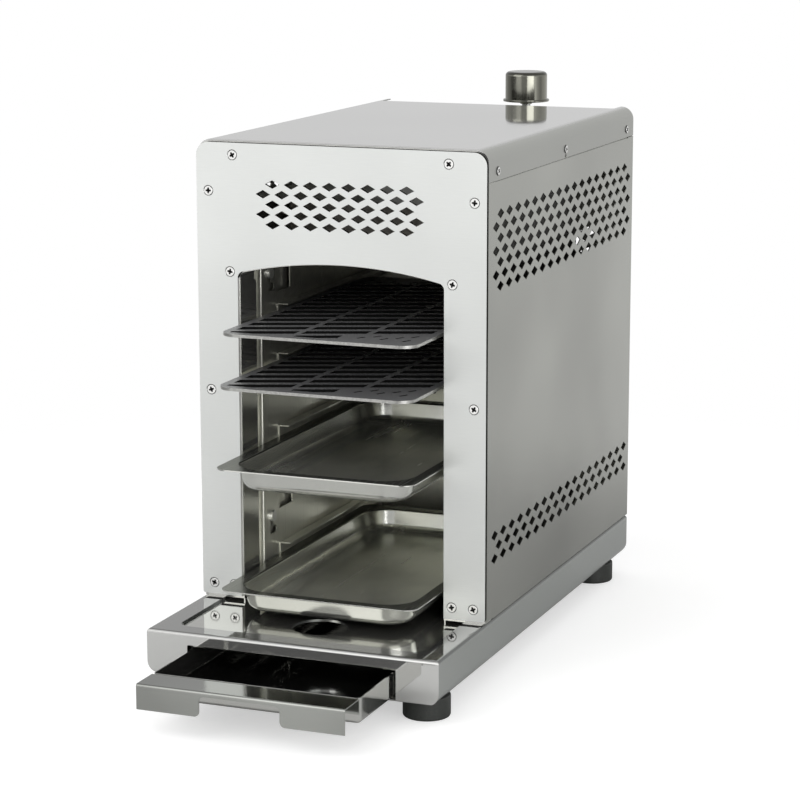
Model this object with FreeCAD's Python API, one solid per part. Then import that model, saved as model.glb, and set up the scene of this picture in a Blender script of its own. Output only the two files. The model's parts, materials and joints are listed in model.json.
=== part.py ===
import FreeCAD, Part
import math
import os

# Upright infrared steak grill: casing with an arched mouth, flat base with a drip drawer,
# racks for two trays and two grates, ceramic burner above them, and a gas valve behind.
# Millimetres. X to the right seen from the front, Y to the back, Z up.
# While modelling, Y = 0 is the front plate's face and Z = 0 is its lower edge.
# The last step moves every piece so that the feet stand on Z = 0 and the whole is centred.

V = FreeCAD.Vector
UP = V(0, 0, 1)
BACK = V(0, 1, 0)
RIGHT = V(1, 0, 0)

# Trays: gastronorm third size, 20 deep
TRAY_WIDTH = 176.0
TRAY_LENGTH = 325.0
TRAY_DEPTH = 20.0
TRAY_SHEET = 1.0
TRAY_RIM = 11.0
TRAY_RIM_CORNER = 12.0
TRAY_WELL_CORNER = 26.0
TRAY_DRAFT = 4.0
TRAY_FLOOR_BEND = 8.0
TRAY_MOUTH_BEND = 2.0

# Grates: flat plate with slanted slots, one edge of each bar folded down
GRATE_WIDTH = 172.0
GRATE_LENGTH = 325.0
GRATE_THICK = 2.5
GRATE_CORNER = 15.0
GRATE_SIDE_RIM = 7.0
GRATE_END_RIM = 9.0
SLOT_PITCH = 21.5
SLOT_WIDTH = 13.0
SLOT_RISE = 0.384
FIRST_SLOT = 22.0
GRATE_WEB = 5.0
GRATE_WEBS = (-24.0, 31.0)
LIP_DROP = 5.0
LIP_THICK = 2.0
LIP_LAP = 0.5
LIP_END_GAP = 12.0
DRAIN_END_SIDE = 14.0
SOLID_CORNER = 50.0
LEAST_CELL = 3.0
LEAST_SLOT = 5.0
SLIT_LENGTH = 8.5
SLIT_WIDTH = 2.5
SLIT_ANGLE = 62.0
SLIT_PLACES = ((31.4, 23.7), (51.0, 24.4), (71.5, 22.5), (42.0, 33.4), (61.4, 33.2), (71.6, 42.0))

# Levels: top of the guide that carries each piece, and how far the piece stands out at rest
LOWER_TRAY_SEAT = 19.6
UPPER_TRAY_SEAT = 124.6
LOWER_GRATE_SEAT = 191.7
UPPER_GRATE_SEAT = 235.1
LOWER_TRAY_OUT = 57.0
UPPER_TRAY_OUT = 63.0
LOWER_GRATE_OUT = 60.3
UPPER_GRATE_OUT = 53.5
SLIDE_GAP = 0.1

# Racks with folded guide channels
TRAY_PLAY = 3.0
GUIDE_REACH = 10.0
TRAY_GUIDE_HEIGHT = 9.0
GRATE_GUIDE_HEIGHT = 6.0
RACK_SHEET = 1.0
RACK_FRONT = 45.0
RACK_LOW = 8.0
RACK_STANDOFF = 5.0
LINER_REAR_LAP = 11.0
LINER_FRONT_FOLD = 9.0
LINER_FOOT = 8.0
LINER_FOOT_SETBACK = 6.0
RACK_END_GAP = 2.0
RACK_TOP_GAP = 6.0
RACK_BEND = 0.8
GUIDE_BEND = 0.5
GUIDE_SETBACK = 32.0
GUIDE_END_GAP = 5.0
STUD_SETBACK = 16.0
STUD_LOW_Z = 57.0
STUD_HIGH_Z = 271.0
STUD_HEAD_RADIUS = 5.0
STUD_HEAD = 2.5
STUD_RADIUS = 3.0
HOOK_DROP = 13.0
HOOK_REACH = 7.0
HOOK_PLAY = 0.4
WINDOW_LENGTH = 28.0
WINDOW_CORNER = 1.5
WINDOW_INSET = 12.0
LOW_WINDOW = (60.0, 96.0)
HIGH_WINDOW = (252.0, 272.0)

# Casing
SHEET = 1.0
SHEET_BEND = 0.6
SNUG_FIT = 0.05
EASY_FIT = 0.1
LOOSE_FIT = 0.2
CUT_OVER = 5.0
TINY = 0.001
FRAME_SHEET = 1.2
PLATE_THICK = 3.0
PLATE_REVEAL = 0.9
PLATE_TOP_CORNER = 11.0
PLATE_FOOT_CORNER = 2.5
PLATE_GAP = 1.0
AIR_JACKET = 37.5
GRATE_HEADROOM = 53.4
LINTEL = 97.0
ARCH_RADIUS = 383.0
ARCH_CORNER = 6.0
CAVITY_DEPTH = 320.0
REAR_CHAMBER = 83.7
JAMB_DEPTH = 36.4
JAMB_BEND = 6.0
JAMB_FOLD = 14.0
LINTEL_LIP = 26.0
FRAME_FLANGE = 15.0
FRAME_FOOT_GAP = 2.0
COVER_RISE = 2.0
COVER_FLANGE = 26.4
COVER_BEND = 11.5
REAR_NOTCH = 22.1
REAR_NOTCH_SIDE = 12.5
REAR_NOTCH_CORNER = 3.0
SEAM_NOTCH_RADIUS = 3.0
SEAM_GAP = 0.5
JOGGLE_RUN = 1.0
JOGGLE_BEND = 0.3
TONGUE_ROOT = 10.0
TONGUE_HEIGHT = 12.4
TONGUE_FRONT = 20.0
TONGUE_END_GAP = 16.7
VENT_WALL_DROP = 25.0
PANEL_FOOT_FLANGE = 13.0
PANEL_REAR_FLANGE = 12.0
PANEL_END_GAP = 3.0
FOLD_RELIEF = 1.0
BACK_PANEL_PLAY = 0.3
BACK_PANEL_CORNER = 3.0
BACK_FOLD_INSET = 14.0
BACK_PANEL_RISE = 12.4
BACK_TOP_FLANGE = 10.0

# Diamond vents
VENT_LENGTH = 16.4
VENT_HEIGHT = 8.6
VENT_STEP = 21.5
VENT_ROW = 9.9
HIGH_VENT_ROWS = 7
LOW_VENT_ROWS = 3
HIGH_VENT_DROP = 27.8
LOW_VENT_Z = 49.0
VENT_FRONT = 33.2
VENT_REAR_MARGIN = 24.0
BACK_VENT_MARGIN = 44.0
FRONT_VENT_LENGTH = 13.0
FRONT_VENT_HEIGHT = 7.0
FRONT_VENT_STEP = 17.0
FRONT_VENT_ROW = 8.4
FRONT_VENT_ROWS = 5
FRONT_VENT_MARGIN = 30.0
FRONT_VENT_MIDDLE = 338.0
FRONT_FIELD_BORDER = 4.0
FRONT_FIELD_CORNER = 6.0

# Screws: countersunk, with cross recesses left to the finish
SCREW_HEAD = 4.4
SCREW_HEAD_DEPTH = 2.3
SCREW_RADIUS = 2.0
SCREW_LENGTH = 12.0
SMALL_SCREW_HEAD = 3.8
SMALL_SCREW_DEPTH = 1.8
SMALL_SCREW_RADIUS = 1.6
SMALL_SCREW_LENGTH = 8.0
SCREW_SLACK = 0.1
PAN_HEAD = 2.5
PAN_HEAD_RADIUS = 4.0
BODY_SCREW_REACH = 6.5
PLATE_EDGE_SCREW = 10.6
PLATE_SCREW_LOW = 10.0
PLATE_SCREW_PITCH = 168.7
PLATE_SCREW_COUNT = 3
MOUTH_SCREW_OUT = 7.1
MOUTH_SCREW_TOP = 10.8
TOP_SCREW_IN = 32.8
TOP_SCREW_DROP = 10.2
COVER_SCREW_RISE = 7.4
COVER_SCREW_ENDS = 21.6
COVER_SCREW_SHIFT = 3.0
BACK_SCREW_COUNT = 4
BACK_SCREW_ENDS = 20.0
BODY_SCREW_IN = 2.0
BODY_SCREW_FRONT = 56.0
BODY_SCREW_REAR = 64.0

# Base, drawer and feet
BASE_GAP = 2.4
BASE_HEIGHT = 37.6
BASE_SHEET = 1.0
BASE_LOW_BEND = 10.5
BASE_TOP_BEND = 3.0
BASE_REAR_INSET = 0.7
FORE_DEPTH = 107.3
RECESS_DEPTH = 2.5
RECESS_SLOPE = 2.0
RECESS_MARGIN = 11.0
RECESS_FRONT_MARGIN = 19.3
RECESS_SPREAD = 0.6
RECESS_CORNER = 8.0
DRAIN_RADIUS = 24.0
DRAIN_FROM_PLATE = 45.0
DRAIN_COLLAR = 2.0
MOUTH_DROP = 10.5
BASE_FRONT_LIP = 0.8
BASE_BOTTOM_BORDER = 37.0
BASE_SIDE_BORDER = 57.0
BASE_REAR_BORDER = 72.0
BASE_OPENING_CORNER = 12.0
MOUTH_CORNER = 1.5
DRAWER_SIDE_GAP = 2.9
DRAWER_LENGTH = 260.0
DRAWER_HEIGHT = 21.0
DRAWER_SHEET = 1.0
DRAWER_CORNER = 4.0
DRAWER_OUT = 67.7
HANDLE_REACH = 29.5
HANDLE_DROP = 21.0
HANDLE_TAB = 13.0
HANDLE_BEND = 1.0
NOTCH_HALF = 34.3
NOTCH_RISE = 16.8
NOTCH_CORNER = 4.5
RAIL_SHEET = 1.2
RAIL_PLAY = 0.8
RAIL_REACH = 12.0
RAIL_HEADROOM = 1.0
RAIL_FRONT_GAP = 6.0
RAIL_LENGTH = 280.0
FOOT_RADIUS = 19.5
FOOT_HEIGHT = 18.0
FOOT_ROUND = 2.0
FOOT_TOP_ROUND = 1.0
FOOT_SIDE_INSET = 22.0
FOOT_FRONT_INSET = 31.0
FOOT_REAR_INSET = 39.8
FOOT_BORE = 8.0
FOOT_BORE_DEPTH = 9.0
BOLT_RADIUS = 3.0
BOLT_HEAD_RADIUS = 5.0
BOLT_HEAD = 4.0
BOLT_NUT = 5.0
NUT_RADIUS = 5.7

# Burner above the cavity
BURNER_LIFT = 8.0
HOUSING_HALF = 80.0
HOUSING_FRONT = 75.0
HOUSING_REAR = 285.0
HOUSING_HEIGHT = 36.0
HOUSING_SHEET = 1.2
HOUSING_LIP = 6.0
HOUSING_CORNER = 6.0
GASKET_INSET = 2.0
CLIP_RISE = 10.0
CLIP_HALF = 7.0
CLIP_END = 6.0
GASKET_THICK = 1.2
TILE_THICK = 12.0
TILE_COUNT = 3
TILE_GAP = 0.5
SHIELD_GAP = 1.0
SHIELD_FOLD = 8.0
SHIELD_SETBACK = 2.0
SHIELD_BEND = 1.0
GUARD_RADIUS = 1.25
GUARD_ROD_COUNT = 7
GUARD_REST = 2.0
GUARD_END = 15.0
GUARD_TAIL = 7.0
GUARD_WELD = 0.4
BRACKET_LENGTH = 25.0
BRACKET_INSET = 25.0
BRACKET_RISE = 18.0
BRACKET_UP = 14.0
BRACKET_DOWN = 13.0
VENTURI_RADIUS = 9.5
VENTURI_WALL = 1.0
VENTURI_LENGTH = 84.0
BELL_RADIUS = 12.0
BELL_LENGTH = 12.0
BELL_ROUND = 8.0
PROBE_SIDE = 34.0
PROBE_BEHIND = 14.0
PROBE_RADIUS = 2.6
PROBE_DROP = 8.0
PROBE_RISE = 16.0

# Gas jet, pipe and valve
JET_RADIUS = 4.0
JET_LENGTH = 9.0
JET_BORE = 0.5
JET_TIP = 1.5
JET_CONE = 4.0
HOLDER_RADIUS = 9.0
HOLDER_DEPTH = 9.0
HOLDER_THREAD = 10.0
THREAD_RADIUS = 6.0
THREAD_PLAY = 0.1
PIPE_RADIUS = 4.0
PIPE_WALL = 1.0
PIPE_BEND = 7.0
PIPE_STRAIGHT = 9.0
PIPE_NUT_RADIUS = 8.5
PIPE_NUT = 12.0
PIPE_NUT_LAP = 4.0
VALVE_BEHIND = 65.7
VALVE_RADIUS = 14.0
VALVE_SHOULDER = 16.0
VALVE_DROP = 20.0
VALVE_CHAMFER = 3.0
VALVE_SHOULDER_HEIGHT = 7.0
VALVE_THROAT = 3.0
OUTLET_LENGTH = 10.0
PORT_RISE = 12.0
PASSAGE_RADIUS = 2.0
BOSS_RADIUS = 4.0
BOSS_LENGTH = 6.0
CARRIER_SHEET = 2.0
CARRIER_HALF = 30.0
CARRIER_NOSE = 24.0
CARRIER_LEG = 25.0
CARRIER_SHOULDER = 20.0
CARRIER_TAPER = 16.0
CARRIER_CORNER = 12.0
CARRIER_WEB_SIDE = 14.0
CARRIER_WEB_DROP = 18.0
CARRIER_WEB_REACH = 30.0
CARRIER_SCREW_SIDE = 23.0
CARRIER_SCREW_DROP = 12.0
NECK_RADIUS = 8.0
NECK_RISE = 5.4
NECK_NUT = 5.0
NECK_NUT_RADIUS = 12.5
BODY_HEIGHT = 40.0
CHAMBER_RADIUS = 8.0
CHAMBER_ROOF = 12.0
COLLAR_PLAY = 0.5
STEM_RADIUS = 4.25
STEM_PLAY = 0.05
STEM_COLLAR = 3.0
PLUNGER_HEIGHT = 6.0
SPRING_CLOSED = 13.0
SPRING_WIRE = 1.4
SPRING_TURNS = 5
PUSH_TRAVEL = 3.0
INLET_RADIUS = 6.58
INLET_LENGTH = 12.0
INLET_HEX = 6.0
INLET_HEX_RADIUS = 10.5
INLET_BORE = 3.0
KNOB_LIFT = 4.0
KNOB_RADIUS = 20.25
KNOB_FLANGE_RADIUS = 22.35
KNOB_FLANGE = 2.2
KNOB_HEIGHT = 28.8
KNOB_ROUND = 4.0
KNOB_WALL = 2.0
KNOB_HUB = 5.8
KNOB_HUB_DROP = 2.5
KNOB_ROOF = 3.0
KNOB_FOOT_ROUND = 0.5
KNOB_LIP_ROUND = 0.8
STEM_COVER = 8.0
STEM_TIP_ROUND = 0.6
LEAD_RADIUS = 1.0
LEAD_BEND = 5.0
LEAD_PLAY = 0.5
LEAD_STANDOFF = 20.0

# Places that follow from the sizes above
RACK_FACE = TRAY_WIDTH / 2 + TRAY_PLAY
LINER_FACE = RACK_FACE + RACK_STANDOFF
MOUTH_HALF = RACK_FACE + PLATE_REVEAL
HALF_WIDTH = RACK_FACE + AIR_JACKET
INNER_HALF = HALF_WIDTH - SHEET
ARCH_TOP = UPPER_GRATE_SEAT + GRATE_THICK + GRATE_HEADROOM
ARCH_CENTRE = ARCH_TOP - ARCH_RADIUS
PLATE_HEIGHT = ARCH_TOP + LINTEL
COVER_TOP = PLATE_HEIGHT + COVER_RISE
SEAM_Z = COVER_TOP - COVER_FLANGE
PANEL_FRONT = PLATE_THICK + PLATE_GAP
CASING_REAR = CAVITY_DEPTH + REAR_CHAMBER
VENTS_PER_ROW = 1 + int((CASING_REAR - VENT_REAR_MARGIN - VENT_FRONT) / VENT_STEP)
BACK_VENTS_PER_ROW = 1 + int(2 * (INNER_HALF - BACK_VENT_MARGIN) / VENT_STEP)
FRONT_VENTS_PER_ROW = 1 + int(2 * (MOUTH_HALF - FRONT_VENT_MARGIN) / FRONT_VENT_STEP)
FRAME_BACK = PLATE_THICK + FRAME_SHEET
JAMB_END = PLATE_THICK + JAMB_DEPTH
RACK_REAR = CAVITY_DEPTH - RACK_END_GAP
RACK_TOP = ARCH_TOP - RACK_TOP_GAP
GUIDE_FRONT = RACK_FRONT + GUIDE_SETBACK
GUIDE_REAR = CAVITY_DEPTH - GUIDE_END_GAP
BASE_TOP = -BASE_GAP
BASE_BOTTOM = BASE_TOP - BASE_HEIGHT
BASE_FLOOR = BASE_BOTTOM + BASE_SHEET
BASE_FRONT = -FORE_DEPTH
BASE_REAR = CASING_REAR - BASE_REAR_INSET
RECESS_FLOOR = BASE_TOP - RECESS_DEPTH
RECESS_HALF = LINER_FACE + RECESS_MARGIN
RECESS_FRONT = BASE_FRONT + RECESS_FRONT_MARGIN
HOUSING_LOW = ARCH_TOP + BURNER_LIFT
HOUSING_TOP = HOUSING_LOW + HOUSING_HEIGHT
LINER_TOP = HOUSING_TOP + SHIELD_GAP
TILE_LOW = HOUSING_LOW + HOUSING_SHEET + GASKET_THICK
TILE_TOP = TILE_LOW + TILE_THICK
GAS_Z = (TILE_TOP + HOUSING_TOP - HOUSING_SHEET) / 2
DRAWER_HALF = MOUTH_HALF - DRAWER_SIDE_GAP
DRAWER_LOW = BASE_FLOOR + RAIL_SHEET + SLIDE_GAP
DRAWER_TOP = DRAWER_LOW + DRAWER_HEIGHT
DRAWER_FRONT = BASE_FRONT - DRAWER_OUT
FOOT_X = HALF_WIDTH - FOOT_SIDE_INSET
FOOT_FRONT_Y = BASE_FRONT + FOOT_FRONT_INSET
FOOT_REAR_Y = BASE_REAR - FOOT_REAR_INSET
FLOOR_Z = BASE_BOTTOM - FOOT_HEIGHT
BACK_FACE = CASING_REAR + SHEET
VALVE_Y = CASING_REAR + VALVE_BEHIND
CARRIER_TOP = COVER_TOP - VALVE_DROP
CARRIER_LOW = CARRIER_TOP - CARRIER_SHEET
BODY_LOW = CARRIER_LOW - BODY_HEIGHT
CHAMBER_TOP = CARRIER_LOW - CHAMBER_ROOF
STEM_FOOT = CHAMBER_TOP - STEM_COLLAR
PLUNGER_LOW = STEM_FOOT - PLUNGER_HEIGHT
SPRING_LENGTH = SPRING_CLOSED + PUSH_TRAVEL
SPRING_LOW = PLUNGER_LOW - SPRING_LENGTH
VALVE_PORT_Z = BODY_LOW + PORT_RISE
KNOB_LOW = COVER_TOP - KNOB_LIFT
KNOB_TOP = KNOB_LOW + KNOB_HEIGHT
STEM_TOP = KNOB_TOP - STEM_COVER
WHOLE_FRONT = DRAWER_FRONT - HANDLE_REACH
WHOLE_REAR = VALVE_Y + CARRIER_NOSE
CENTRE = V(0, -(WHOLE_FRONT + WHOLE_REAR) / 2, -FLOOR_Z)


def box(x0, x1, y0, y1, z0, z1):
    """Block between two corners."""
    return Part.makeBox(x1 - x0, y1 - y0, z1 - z0, V(x0, y0, z0))


def rod(radius, start, end):
    """Cylinder from one point to another."""
    along = end - start
    return Part.makeCylinder(radius, along.Length, start, along)


def fused(pieces):
    """One solid from overlapping or touching solids."""
    joined = pieces[0].fuse(list(pieces[1:]))
    return joined.removeSplitter()


def group(pieces):
    """Several separate solids in one node."""
    return Part.makeCompound(list(pieces))


def mirrored(shape):
    """The same piece on the other side of the casing."""
    return shape.mirror(V(0, 0, 0), RIGHT)


def on_plane(plane, u, v, depth):
    """Point (u, v) of a drawing plane, moved along its normal."""
    if plane == "xy":
        return V(u, v, depth)
    if plane == "xz":
        return V(u, depth, v)
    return V(depth, u, v)


def normal_of(plane):
    """Direction in which a drawing on this plane is extruded."""
    return {"xy": UP, "xz": BACK, "yz": RIGHT}[plane]


def corner_arc(before, corner, after, radius):
    """Start, middle and end of the arc that rounds one corner."""
    to_before = (before - corner).normalize()
    to_after = (after - corner).normalize()
    half = to_before.getAngle(to_after) / 2
    reach = radius / math.tan(half)
    middle_way = (to_before + to_after).normalize()
    centre = corner + middle_way * (radius / math.sin(half))
    return corner + to_before * reach, centre - middle_way * radius, corner + to_after * reach


def rounded_wire(corners, closed=True):
    """Wire through (point, radius) corners, with a tangent arc at each corner that has a radius."""
    count = len(corners)
    marks = []
    for i, (point, radius) in enumerate(corners):
        if radius > 0 and (closed or 0 < i < count - 1):
            marks.append(corner_arc(corners[i - 1][0], point, corners[(i + 1) % count][0], radius))
        else:
            marks.append((point, None, point))
    edges = []
    for i, (start, middle, end) in enumerate(marks):
        if middle is not None:
            edges.append(Part.Arc(start, middle, end).toShape())
        following = marks[(i + 1) % count][0]
        if (closed or i < count - 1) and end.distanceToPoint(following) > 1e-6:
            edges.append(Part.LineSegment(end, following).toShape())
    return Part.Wire(edges)


def drawn(plane, depth, corners):
    """Closed wire on a drawing plane from (u, v) or (u, v, radius) corners."""
    placed = []
    for corner in corners:
        radius = corner[2] if len(corner) > 2 else 0.0
        placed.append((on_plane(plane, corner[0], corner[1], depth), radius))
    return rounded_wire(placed)


def slab(plane, start, end, corners, holes=()):
    """Flat plate with an outline and holes, from one depth to another."""
    wires = [drawn(plane, start, corners)] + [drawn(plane, start, hole) for hole in holes]
    face = Part.makeFace(wires, "Part::FaceMakerBullseye")
    return face.extrude(normal_of(plane) * (end - start))


def rounded_rect(u0, u1, v0, v1, radius):
    """Corners of a rectangle with one corner radius."""
    return [(u0, v0, radius), (u1, v0, radius), (u1, v1, radius), (u0, v1, radius)]


def bent_sheet(plane, start, end, path, thick, bend):
    """Folded sheet that lies to the left of a path; bend is the inner bend radius."""
    points = [V(u, v, 0) for u, v in path]
    ways = [(b - a).normalize() for a, b in zip(points, points[1:])]
    lefts = [V(-way.y, way.x, 0) for way in ways]
    near = [(points[0], 0.0)]
    far = [(points[0] + lefts[0] * thick, 0.0)]
    for i in range(1, len(points) - 1):
        turns_left = ways[i - 1].cross(ways[i]).z > 0
        mitre = (lefts[i - 1] + lefts[i]) * (thick / (1 + lefts[i - 1].dot(lefts[i])))
        near.append((points[i], bend + thick if turns_left else bend))
        far.append((points[i] + mitre, bend if turns_left else bend + thick))
    near.append((points[-1], 0.0))
    far.append((points[-1] + lefts[-1] * thick, 0.0))
    corners = [(point.x, point.y, radius) for point, radius in near + far[::-1]]
    return slab(plane, start, end, corners)


def turned(profile, origin, axis):
    """Solid of revolution from (radius, height) corners, about an axis through an origin."""
    placed = []
    for corner in profile:
        radius = corner[2] if len(corner) > 2 else 0.0
        placed.append((V(corner[0], 0, corner[1]), radius))
    shape = Part.Face(rounded_wire(placed)).revolve(V(0, 0, 0), UP, 360)
    shape.Placement = FreeCAD.Placement(origin, FreeCAD.Rotation(UP, axis))
    return shape


def hexagon(radius, start, end):
    """Hexagonal bar between two points; radius is to its corners."""
    along = end - start
    angles = [k * math.pi / 3 for k in range(6)]
    corners = [V(radius * math.cos(angle), radius * math.sin(angle), 0) for angle in angles]
    shape = Part.Face(Part.makePolygon(corners + corners[:1])).extrude(UP * along.Length)
    shape.Placement = FreeCAD.Placement(start, FreeCAD.Rotation(UP, along))
    return shape


def swept(points, bend, radius):
    """Round bar along straight runs joined by arcs of one radius."""
    path = rounded_wire([(V(*point), bend) for point in points], closed=False)
    way = V(*points[1]) - V(*points[0])
    section = Part.Wire(Part.makeCircle(radius, V(*points[0]), way))
    return path.makePipeShell([section], True, False)


def rounded(shape, radius, wanted):
    """Fillet the edges for which wanted(edge) is true."""
    return shape.makeFillet(radius, [edge for edge in shape.Edges if wanted(edge)])


def lies_at(edge, height):
    """True for an edge that lies flat at one height."""
    limits = edge.BoundBox
    return abs(limits.ZMin - height) < TINY and abs(limits.ZMax - height) < TINY


def screw(head, depth, radius, length, origin, axis, slack=0.0):
    """Countersunk screw from its head's face along an axis; with slack, the hole that takes it."""
    outside = 1.0 if slack > 0 else 0.0
    profile = [(0, -outside), (head + slack, -outside), (head + slack, 0), (radius + slack, depth),
               (radius + slack, length + slack), (0, length + slack)]
    if not outside:
        del profile[1]
    return turned(profile, origin, axis)


def plate_screws(slack=0.0):
    """Twelve screws round the plate's edge, beside the mouth and in the lintel."""
    edge = HALF_WIDTH - PLATE_EDGE_SCREW
    mouth = MOUTH_HALF + MOUTH_SCREW_OUT
    places = [(edge, PLATE_SCREW_LOW + k * PLATE_SCREW_PITCH) for k in range(PLATE_SCREW_COUNT)]
    places += [(HALF_WIDTH - TOP_SCREW_IN, PLATE_HEIGHT - TOP_SCREW_DROP)]
    places += [(mouth, ARCH_TOP - MOUTH_SCREW_TOP), (mouth, PLATE_SCREW_LOW)]
    return [screw(SCREW_HEAD, SCREW_HEAD_DEPTH, SCREW_RADIUS, SCREW_LENGTH, V(side * x, 0, z), BACK, slack)
            for side in (-1, 1) for x, z in places]


def cover_screws(slack=0.0):
    """Three screws through each side flange of the cover."""
    front = PANEL_FRONT + COVER_SCREW_ENDS
    rear = CASING_REAR - COVER_SCREW_ENDS
    rows = (front, (front + rear) / 2 - COVER_SCREW_SHIFT, rear)
    height = SEAM_Z + COVER_SCREW_RISE
    return [screw(SMALL_SCREW_HEAD, SMALL_SCREW_DEPTH, SMALL_SCREW_RADIUS, SMALL_SCREW_LENGTH,
                  V(side * HALF_WIDTH, y, height), V(-side, 0, 0), slack)
            for side in (-1, 1) for y in rows]


def back_screws(slack=0.0):
    """Screws of the back panel into the side panels' rear flanges."""
    side_x = INNER_HALF - PANEL_REAR_FLANGE / 2
    pitch = (SEAM_Z - 2 * BACK_SCREW_ENDS) / (BACK_SCREW_COUNT - 1)
    heights = [BACK_SCREW_ENDS + k * pitch for k in range(BACK_SCREW_COUNT)]
    return [screw(SMALL_SCREW_HEAD, SMALL_SCREW_DEPTH, SMALL_SCREW_RADIUS, SMALL_SCREW_LENGTH,
                  V(side * side_x, BACK_FACE, z), V(0, -1, 0), slack)
            for side in (-1, 1) for z in heights]


def diamond(u, v, length, height):
    """Corners of one vent."""
    return [(u - length / 2, v), (u, v - height / 2), (u + length / 2, v), (u, v + height / 2)]


def diamond_band(first, row_z, rows, per_row, step, row_step, length, height, wide_first=False):
    """Staggered rows of diamonds; every other row has one more, half a step outside the first."""
    holes = []
    for row in range(rows):
        wide = (row % 2 == 1) != wide_first
        start = first - step / 2 if wide else first
        for k in range(per_row + 1 if wide else per_row):
            holes.append(diamond(start + k * step, row_z + row * row_step, length, height))
    return holes


def mouth_block(inset, y0, y1):
    """Block with the arched shape of the mouth, shrunk by an inset, down past the base's top."""
    half = MOUTH_HALF - inset
    block = box(-half, half, y0, y1, BASE_TOP - CUT_OVER, ARCH_TOP - inset)
    crown = Part.makeCylinder(ARCH_RADIUS - inset, y1 - y0, V(0, y0, ARCH_CENTRE), BACK)
    arched = block.common(crown)

    def is_shoulder(edge):
        limits = edge.BoundBox
        upright = limits.XLength < TINY and limits.ZLength < TINY
        return upright and abs(limits.XMax) > half - TINY and limits.ZMax > 0

    return rounded(arched, ARCH_CORNER - inset, is_shoulder)


def front_plate():
    """Thick front plate with the arched mouth, a small vent field and countersunk holes."""
    foot = PLATE_FOOT_CORNER
    outline = [(-HALF_WIDTH, 0, foot), (HALF_WIDTH, 0, foot),
               (HALF_WIDTH, PLATE_HEIGHT, PLATE_TOP_CORNER), (-HALF_WIDTH, PLATE_HEIGHT, PLATE_TOP_CORNER)]
    holes = diamond_band(-(FRONT_VENTS_PER_ROW - 1) * FRONT_VENT_STEP / 2,
                         FRONT_VENT_MIDDLE - (FRONT_VENT_ROWS - 1) * FRONT_VENT_ROW / 2,
                         FRONT_VENT_ROWS, FRONT_VENTS_PER_ROW, FRONT_VENT_STEP, FRONT_VENT_ROW,
                         FRONT_VENT_LENGTH, FRONT_VENT_HEIGHT)
    plate = slab("xz", 0, PLATE_THICK, outline, holes)
    return plate.cut([mouth_block(0, -1, PLATE_THICK + 1)] + plate_screws(SCREW_SLACK))


def front_frame():
    """Portal sheet behind the plate: face, outer flanges, and jambs that turn in and away."""
    top = COVER_TOP - SHEET
    corner = COVER_BEND - SHEET
    field = FRONT_VENTS_PER_ROW * FRONT_VENT_STEP / 2 + FRONT_VENT_LENGTH / 2
    field_rise = FRONT_VENT_ROWS * FRONT_VENT_ROW / 2 + FRONT_FIELD_BORDER
    outline = [(-INNER_HALF, BASE_TOP), (INNER_HALF, BASE_TOP), (INNER_HALF, top, corner),
               (-INNER_HALF, top, corner)]
    window = rounded_rect(-field, field, FRONT_VENT_MIDDLE - field_rise, FRONT_VENT_MIDDLE + field_rise,
                          FRONT_FIELD_CORNER)
    face = slab("xz", PLATE_THICK, FRAME_BACK, outline, [window])
    flange_back = PLATE_THICK + FRAME_FLANGE
    side_top = SEAM_Z + TONGUE_HEIGHT
    side = box(INNER_HALF - FRAME_SHEET, INNER_HALF, PLATE_THICK, flange_back, BASE_TOP, side_top)
    crown_half = INNER_HALF - corner
    crown = box(-crown_half, crown_half, PLATE_THICK, flange_back, top - FRAME_SHEET, top)
    foot = box(RECESS_HALF + RECESS_SLOPE + FRAME_FOOT_GAP, INNER_HALF, PLATE_THICK, flange_back,
               BASE_TOP, BASE_TOP + FRAME_SHEET)
    inner = PLATE_REVEAL
    lining = mouth_block(inner - FRAME_SHEET, FRAME_BACK - EASY_FIT, FRAME_BACK + LINTEL_LIP)
    lining = lining.cut(mouth_block(inner, PLATE_THICK, FRAME_BACK + LINTEL_LIP + 1))
    lining = lining.cut(box(-HALF_WIDTH, HALF_WIDTH, 0, CAVITY_DEPTH, BASE_TOP - 2 * CUT_OVER, BASE_TOP))
    jamb_top = ARCH_TOP - 2 * (ARCH_TOP - ARCH_CENTRE - math.sqrt(ARCH_RADIUS ** 2 - MOUTH_HALF ** 2))
    jamb = bent_sheet("xy", RECESS_FLOOR, jamb_top,
                      [(RACK_FACE + JAMB_FOLD, JAMB_END), (RACK_FACE, JAMB_END), (RACK_FACE, FRAME_BACK)],
                      FRAME_SHEET, JAMB_BEND - FRAME_SHEET)
    face = face.cut(mouth_block(inner, 0, FRAME_BACK + 1))
    frame = fused([face, crown, lining, side, mirrored(side), foot, mirrored(foot), jamb, mirrored(jamb)])
    return frame.cut(plate_screws(SCREW_SLACK))


def top_cover():
    """Folded cover with rounded long edges, side flanges and the exhaust notch at the rear."""
    sheet = bent_sheet("xz", PANEL_FRONT, CASING_REAR,
                       [(HALF_WIDTH, SEAM_Z), (HALF_WIDTH, COVER_TOP), (-HALF_WIDTH, COVER_TOP),
                        (-HALF_WIDTH, SEAM_Z)], SHEET, COVER_BEND - SHEET)
    notch_half = HALF_WIDTH - REAR_NOTCH_SIDE
    notch = slab("xy", COVER_TOP - CUT_OVER, COVER_TOP + CUT_OVER,
                 [(-notch_half, CASING_REAR - REAR_NOTCH, REAR_NOTCH_CORNER),
                  (notch_half, CASING_REAR - REAR_NOTCH, REAR_NOTCH_CORNER),
                  (notch_half, CASING_REAR + CUT_OVER), (-notch_half, CASING_REAR + CUT_OVER)])
    middle = (PANEL_FRONT + CASING_REAR) / 2 - COVER_SCREW_SHIFT
    pry = rod(SEAM_NOTCH_RADIUS, V(-HALF_WIDTH - 1, middle, SEAM_Z), V(HALF_WIDTH + 1, middle, SEAM_Z))
    return sheet.cut([notch, pry] + cover_screws(SCREW_SLACK))


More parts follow.
